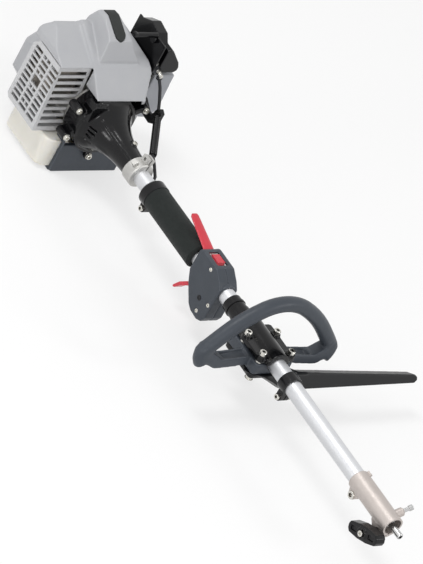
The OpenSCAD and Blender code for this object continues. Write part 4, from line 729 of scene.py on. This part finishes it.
def rod(tree, sides, radius, depth, lift):
    """A cylinder around Z whose middle is lifted by a height."""
    shape = add(tree, "GeometryNodeMeshCylinder", Vertices=sides, Radius=radius, Depth=depth)
    return raised(tree, shape.outputs["Mesh"], lift)


def combined(tree, operation, first, *others):
    """An exact union of meshes, or the first mesh less the others."""
    solid = add(tree, "GeometryNodeMeshBoolean", {"operation": operation, "solver": "EXACT"})
    if operation == "DIFFERENCE":
        tree.links.new(first, solid.inputs["Mesh 1"])
    else:
        others = (first,) + others
    for mesh in others:
        tree.links.new(mesh, solid.inputs["Mesh 2"])
    return solid.outputs["Mesh"]


# %% The screw tree
HEAD_SIDES, SHANK_SIDES, SOCKET_SIDES = 28, 20, 6
SOCKET_WIDE, SOCKET_DEEP = 0.56, 1.2            # as shares of the head's radius and height
WASHER_WIDE = 1.16                              # as a share of the head's radius
WASHER_THICK, WASHER_LIFT = 0.7 * MM, 0.1 * MM

screw_tree, sizes = new_tree("socket_screw", {
    "Head Radius": 4.5 * MM, "Head Height": 5 * MM, "Shank Radius": 2.5 * MM,
    "Shank Length": 12 * MM, "Edge": 0.5 * MM,
})
head_r, head_h, edge = sizes["Head Radius"], sizes["Head Height"], sizes["Edge"]
straight = math_node(screw_tree, "SUBTRACT", head_h, edge)
head = rod(screw_tree, HEAD_SIDES, head_r, straight,
           math_node(screw_tree, "MULTIPLY", straight, 0.5))
rim = add(screw_tree, "GeometryNodeMeshCone", Vertices=HEAD_SIDES, Radius_Bottom=head_r,
          Radius_Top=math_node(screw_tree, "SUBTRACT", head_r, edge), Depth=edge).outputs["Mesh"]
rim = raised(screw_tree, rim, straight)
socket = rod(screw_tree, SOCKET_SIDES, math_node(screw_tree, "MULTIPLY", head_r, SOCKET_WIDE),
             math_node(screw_tree, "MULTIPLY", head_h, SOCKET_DEEP), head_h)
hollow = combined(screw_tree, "DIFFERENCE", combined(screw_tree, "UNION", head, rim), socket)
washer = rod(screw_tree, HEAD_SIDES, math_node(screw_tree, "MULTIPLY", head_r, WASHER_WIDE),
             WASHER_THICK, WASHER_LIFT)
shank = rod(screw_tree, SHANK_SIDES, sizes["Shank Radius"], sizes["Shank Length"],
            math_node(screw_tree, "MULTIPLY", sizes["Shank Length"], -0.5))
join = screw_tree.nodes.new("GeometryNodeJoinGeometry")
for part in (hollow, washer, shank):
    screw_tree.links.new(part, join.inputs[0])
end_tree(screw_tree, on_points(screw_tree, sizes["Geometry"], join.outputs[0]), zinc_plate)

# %% [markdown]
# ## Make the screws
# A tree runs as a modifier on a small mesh that holds only points, or a line. Its inputs are set
# by the identifier of each socket, before Blender looks at the result for the first time. The
# result is then kept as a plain mesh, and the modifier goes away with the object that had it.
# Screws of one size make one mesh. The coupling's pinch screw has a wider, flanged head.

# %% Grow a tree on points or lines
def grown(name, tree, values, points, edges=(), axes=()):
    """Runs a tree on a mesh of points and lines and returns the result as one plain mesh."""
    seeds = bpy.data.meshes.new(name + "_points")
    seeds.from_pydata(points, edges, [])
    if axes:
        directions = seeds.attributes.new("axis", "FLOAT_VECTOR", "POINT").data
        directions.foreach_set("vector", [c for axis in axes for c in axis])
    seed = new_object(name + "_points", seeds)
    grow = seed.modifiers.new("grow", "NODES")
    grow.node_group = tree
    for item in tree.interface.items_tree:
        if item.in_out == "INPUT" and item.name in values:
            grow[item.identifier] = values[item.name]
    return baked(seed, name)


def turned_part(name, tree, values, points, axes, material, body, slot):
    """A piece grown on points, with its edges kept as lines in the shading."""
    piece = place(name, grown(name, tree, values, points, (), axes), material, body, slot)
    piece.data.set_sharp_from_angle(angle=math.radians(SCREW_SHARP_DEG))
    return piece


def screw_sizes(head, height, shank, length, edge):
    """The screw tree's inputs, from millimetres."""
    names = ("Head Radius", "Head Height", "Shank Radius", "Shank Length", "Edge")
    return {name: value * MM for name, value in zip(names, (head, height, shank, length, edge))}


SCREW_SHARP_DEG = 32
print("a screw's inputs:", ", ".join(screw_sizes(1, 1, 1, 1, 1)))

# %% Make the screws
FLANGED_HEAD = 1.35     # how much wider the coupling's screw head is than the model's
COUPLING_X = -0.1       # the coupling's screw is the only one in front of this
EDGE_SHARE = 0.12       # the head's broken edge as a share of its radius


def screws_of(node):
    """Replaces a node of screws by finished ones, one piece for each size."""
    groups = {}
    for points in shells(node):
        found = screw_place(points)
        if node == "pinch_screws" and found["seat"].x > COUPLING_X:
            found["head"] *= FLANGED_HEAD
        key = tuple(round(found[k] / MM, 1) for k in ("head", "height", "shank", "length"))
        groups.setdefault(key, []).append(found)
    for count, (key, found) in enumerate(groups.items()):
        piece = turned_part(f"{node}_{count}", screw_tree, screw_sizes(*key, EDGE_SHARE * key[0]),
                            [f["seat"] for f in found], [f["axis"] for f in found],
                            zinc_plate, BODY_OF[node], SLOT_OF[node])
        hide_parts(node)
        print(node, len(found), "screws, head", round(key[0] * 2, 1), "mm, faces",
              len(piece.data.polygons))


for node in ("handle_screws", "engine_screws", "pinch_screws", "control_screws"):
    screws_of(node)

# %% [markdown]
# ## Pivot screws of the trigger
# The trigger turns on a screw that ends flush with each side of the throttle housing. It is
# blackened, unlike the zinc-plated screws around it, and its head closes the bore. It is the
# same tree with flatter sizes, put on the axis of the trigger's joint.

# %% Make the pivot screws
PIVOT_MM = (3.6, 1.1, 2.2, 1.0, 0.3)    # head, height, shank, length, edge
PIVOT_SINK = 0.1 * MM                   # how far the head's seat is let into the housing

pivot_x, _, pivot_z = JOINTS["trigger_squeeze"]["pos_m"]
for side, hand in ((-1, "left"), (1, "right")):
    node = "control_shell_" + hand
    reach = max(abs(corner[1]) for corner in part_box(node))
    plug = turned_part("pivot_screw_" + hand, screw_tree, screw_sizes(*PIVOT_MM),
                       [(pivot_x, side * (reach - PIVOT_SINK), pivot_z)], [(0, side, 0)],
                       matte_black, "root", SLOT_OF[node])
    print(plug.name, "faces:", len(plug.data.polygons))

# %% [markdown]
# ## A tree for tubes with waves
# The throttle cable's corrugated sleeve, the starter rope and the parts of the cable adjuster
# all follow a straight line, and their thickness changes along it. One tree makes them: it cuts
# a line into fine steps, lets a radius follow a sine wave of the length, and sweeps a circle
# along it. A deep wave gives the sleeve's ribs, a shallow one the rope's lay or a fine thread.

# %% The wave tube tree
wave_tree, sizes = new_tree("wave_tube", {
    "Radius": 5.2 * MM, "Wave": 0.13, "Rings": 26.0, "Steps": 260, "Sides": 24,
})
line = add(wave_tree, "GeometryNodeMeshToCurve", Mesh=sizes["Geometry"]).outputs["Curve"]
fine = add(wave_tree, "GeometryNodeResampleCurve", Curve=line, Count=sizes["Steps"])
along = add(wave_tree, "GeometryNodeSplineParameter").outputs["Factor"]
turns = math_node(wave_tree, "MULTIPLY", along, sizes["Rings"])
ripple = math_node(wave_tree, "SINE", math_node(wave_tree, "MULTIPLY", turns, 2 * math.pi))
ripple = math_node(wave_tree, "MULTIPLY", ripple, sizes["Wave"])
thickness = math_node(wave_tree, "MULTIPLY", math_node(wave_tree, "ADD", ripple, 1.0),
                      sizes["Radius"])
circle = add(wave_tree, "GeometryNodeCurvePrimitiveCircle", Resolution=sizes["Sides"], Radius=1.0)
tube = add(wave_tree, "GeometryNodeCurveToMesh", Curve=fine.outputs["Curve"], Scale=thickness,
           Profile_Curve=circle.outputs["Curve"], Fill_Caps=True)
end_tree(wave_tree, tube.outputs["Mesh"], matte_black)

# %% [markdown]
# ## The corrugated sleeve
# Where the throttle cable leaves the clutch housing it is protected by a corrugated sleeve of
# black nylon. The model has it as a smooth rod, so its ends and its radius are read from that
# rod. The rod's radius is the outside of the ribs, so the tube's own radius is smaller.

# %% Grow the sleeve
STEPS_PER_RING = 10
SLEEVE_SHARE = 0.82     # the tube's own radius, as a share of the ribs' outside


def long_axis(node):
    """The ends of a long straight node on its centre line, and its radius."""
    points = [v.co.copy() for v in NODES[node].data.vertices]
    axis = main_axis(points, rounds=20)
    along, radius = profile(points, axis)
    return middle_of(points) + axis * min(along), middle_of(points) + axis * max(along), max(radius)


def wave_piece(name, node, ends, radius, wave, rings, sides, material, body):
    """A wave tube between two points; the node's slot is not used."""
    values = {"Radius": radius, "Wave": wave, "Rings": float(rings),
              "Steps": rings * STEPS_PER_RING + 2, "Sides": sides}
    piece = place(name, grown(name, wave_tree, values, ends, [(0, 1)]), material, body, SLOT_OF[node])
    print(name, "length mm", round((ends[1] - ends[0]).length / MM, 1),
          "faces", len(piece.data.polygons))
    return piece


low, high, radius = long_axis("cable_sleeve")
sleeve = wave_piece("ribbed_sleeve", "cable_sleeve", (low, high), radius * SLEEVE_SHARE,
                    wave=0.21, rings=17, sides=28, material=gloss_black, body="root")
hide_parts("cable_sleeve")

# %% [markdown]
# ## The starter rope
# The rope runs from its guide in the starter's cover to the pull handle, and it gets longer when
# the handle is pulled. A rope that rode on one body would tear away from the other, so this one
# is made in place and rides on no body.

# %% Grow the rope
ROPE_SHARE = 0.94       # the rope's own radius, as a share of the model's, under its lay

box_low, box_high = (Vector(corner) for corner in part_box("starter_rope"))
rope_x, rope_z = (box_low.x + box_high.x) / 2, (box_low.z + box_high.z) / 2
guide, knot = Vector((rope_x, box_low.y, rope_z)), Vector((rope_x, box_high.y, rope_z))
rope = wave_piece("starter_cord_lay", "starter_rope", (guide, knot),
                  (box_high.x - box_low.x) / 2 * ROPE_SHARE, wave=0.05, rings=18, sides=14,
                  material=rope_braid, body=None)
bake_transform(rope)
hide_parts("starter_rope")

# %% [markdown]
# ## The lock pin's spring
# The pin that locks the lower shaft is pushed in by a small helical spring, between its boss and
# the pin's collar. A screw modifier could wind it, but a spiral curve with a round profile needs
# only its four sizes. Like the rope, it rides on no body.

# %% The spring tree
WIRE_SIDES, STEPS_PER_COIL = 10, 28

spring_tree, sizes = new_tree("helical_spring", {
    "Coil Radius": 3.8 * MM, "Wire": 0.45 * MM, "Turns": 5.0, "Free Length": 4.6 * MM,
})
coil = add(spring_tree, "GeometryNodeCurveSpiral", Resolution=STEPS_PER_COIL,
           Rotations=sizes["Turns"], Start_Radius=sizes["Coil Radius"],
           End_Radius=sizes["Coil Radius"], Height=sizes["Free Length"])
wire = add(spring_tree, "GeometryNodeCurvePrimitiveCircle", Resolution=WIRE_SIDES,
           Radius=sizes["Wire"])
swept = add(spring_tree, "GeometryNodeCurveToMesh", Curve=coil.outputs["Curve"],
            Profile_Curve=wire.outputs["Curve"], Fill_Caps=True)
end_tree(spring_tree, on_points(spring_tree, sizes["Geometry"], swept.outputs["Mesh"]),
         ground_steel)

# %% Wind the spring
WIRE_RADIUS = 0.42 * MM
COILS = 4.0

pin_way = Vector(JOINTS["pin_pull"]["axis"]).normalized()
points = [v.co for v in NODES["pin_spring"].data.vertices]
along, reach = profile(points, pin_way)
inner = middle_of(points) + pin_way * min(along)
outer = middle_of(points) + pin_way * max(along)
spring = turned_part("pin_spring_helix", spring_tree, {
    "Coil Radius": max(reach) - WIRE_RADIUS, "Wire": WIRE_RADIUS, "Turns": COILS,
    "Free Length": (outer - inner).length - 2 * WIRE_RADIUS,
}, [inner + pin_way * WIRE_RADIUS], [pin_way], ground_steel, None, SLOT_OF["pin_spring"])
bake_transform(spring)
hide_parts("pin_spring")
print("spring:", COILS, "coils, length mm", round((outer - inner).length / MM, 2))

# %% [markdown]
# ## Cable adjuster
# Where the throttle cable reaches the carburettor there is a bright adjuster: a threaded barrel
# with a hexagon lock nut and a grooved head, and the thin inner cable ahead of it. All four are
# wave tubes. The thread is a fine wave, the head has three shallow grooves, and the nut is a
# tube with six sides and no wave.

# %% Make the cable adjuster
CABLE_START = Vector((-905, 84, 80.2)) * MM
CABLE_END = Vector((-864, 84.8, 74.6)) * MM
ADJUSTER_SHARP_DEG = 40

cable_way = (CABLE_END - CABLE_START).normalized()
for name, start_mm, stop_mm, radius_mm, wave, rings, sides, material in (
        ("adjuster_inner_cable", 28.3, 31, 0.9, 0.10, 3, 10, ground_steel),
        ("adjuster_thread", 29.2, 43, 2.1, 0.07, 14, 18, zinc_plate),
        ("adjuster_lock_nut", 31, 34.5, 3.9, 0.0, 1, 6, zinc_plate),
        ("adjuster_head", 37, 42.5, 3.3, 0.03, 3, 20, zinc_plate)):
    ends = [CABLE_START + cable_way * mm * MM for mm in (start_mm, stop_mm)]
    piece = wave_piece(name, "engine_screws", ends, radius_mm * MM, wave, rings, sides, material,
                       "root")
    piece.data.set_sharp_from_angle(angle=math.radians(ADJUSTER_SHARP_DEG))

# %% [markdown]
# ## Floor and background
# The unit stands over a plain pale floor. Lit paper alone would turn out grey where the lamps
# fall off, so the floor's material glows a little for rays that come straight from the camera
# or by way of a mirror or glass, which Light Path tells apart. The rest of it is still paper,
# so it keeps the unit's shadow, and dull surfaces get no light from the glow.

# %% Floor
FLOOR_Z = cad_box[0][2] - 1 * MM
FLOOR_HALF = 14.0
FLOOR_GLOW = 0.6        # share of the floor that glows white, where it is seen


def background_ray(tree):
    """1 for rays that show the background: straight from the camera, mirrored or through glass."""
    path = add(tree, "ShaderNodeLightPath").outputs
    mirrored = math_node(tree, "MAXIMUM", path["Is Camera Ray"], path["Is Glossy Ray"])
    return math_node(tree, "MAXIMUM", mirrored, path["Is Transmission Ray"])


floor_mesh = bpy.data.meshes.new("floor")
corners = [(x * FLOOR_HALF, y * FLOOR_HALF, FLOOR_Z) for x, y in ((-1, -1), (1, -1), (1, 1), (-1, 1))]
floor_mesh.from_pydata(corners, [], [(0, 1, 2, 3)])
floor = new_object("floor", floor_mesh)
# Matte white paper: no gloss to speak of
paper, tree, shader = start_material("matte_paper_white")
even(shader, Base_Color=linear("F4F4F4"), Roughness=0.9, Specular_IOR_Level=0.1)
glow = add(tree, "ShaderNodeEmission", Color=linear("FFFFFF"), Strength=1.0)
share = math_node(tree, "MULTIPLY", background_ray(tree), FLOOR_GLOW)
blend = add(tree, "ShaderNodeMixShader", i0=share, i1=shader.outputs[0], i2=glow.outputs[0])
tree.links.new(blend.outputs[0], tree.nodes["Material Output"].inputs["Surface"])
floor_mesh.materials.append(paper)
print("floor at", round(FLOOR_Z, 3), "m")

# %% [markdown]
# ## Lamps and sky
# Soft studio light comes from square lamps: a big key lamp above the unit, two weaker ones on
# the coupling's side that open up the shadows, and a small one at the side that draws highlights
# along the tube. The sky is pale and brighter overhead, so that lit surfaces show a gradient and
# not one flat tone. Where the background itself is seen, it is white.

# %% Lamps and sky
LAMPS = (       # offset from the unit's middle in metres, side in metres, watts
    ("key", (-0.9, -1.6, 3.2), 1.1, 42),
    ("fill", (2.6, 1.8, 1.9), 0.9, 23),
    ("front", (2.6, -2.0, 1.4), 0.9, 21),
    ("side", (-0.2, -3.2, 0.8), 0.6, 12),
)
SKY_LOW, SKY_HIGH = 0.3, 0.75       # strength at the horizon and overhead

middle = (Vector(cad_box[0]) + Vector(cad_box[1])) / 2
for name, offset, side, watts in LAMPS:
    data = bpy.data.lights.new(name, "AREA")
    data.shape = "SQUARE"
    data.size = side
    data.energy = watts
    soft_box = new_object(name, data)
    soft_box.location = middle + Vector(offset)
    soft_box.rotation_euler = (-Vector(offset)).to_track_quat("-Z", "Y").to_euler()

world = bpy.data.worlds.new("studio")
bpy.context.scene.world = world
world.use_nodes = True
sky = world.node_tree
height = add(sky, "ShaderNodeSeparateXYZ", Vector=add(sky, "ShaderNodeTexCoord").outputs["Generated"])
level = ranged(sky, height.outputs["Z"], SKY_LOW, SKY_HIGH, -0.1, 0.9)
white = add(sky, "ShaderNodeMix", {"data_type": "FLOAT"}, Factor=background_ray(sky), A=level, B=1.0)
backdrop = sky.nodes["Background"]
backdrop.inputs["Color"].default_value = linear("FFFFFF")
sky.links.new(white.outputs["Result"], backdrop.inputs["Strength"])
bpy.context.scene.view_settings.view_transform = "Standard"
print("lamps:", len(LAMPS), "of", sum(lamp[3] for lamp in LAMPS), "W together")
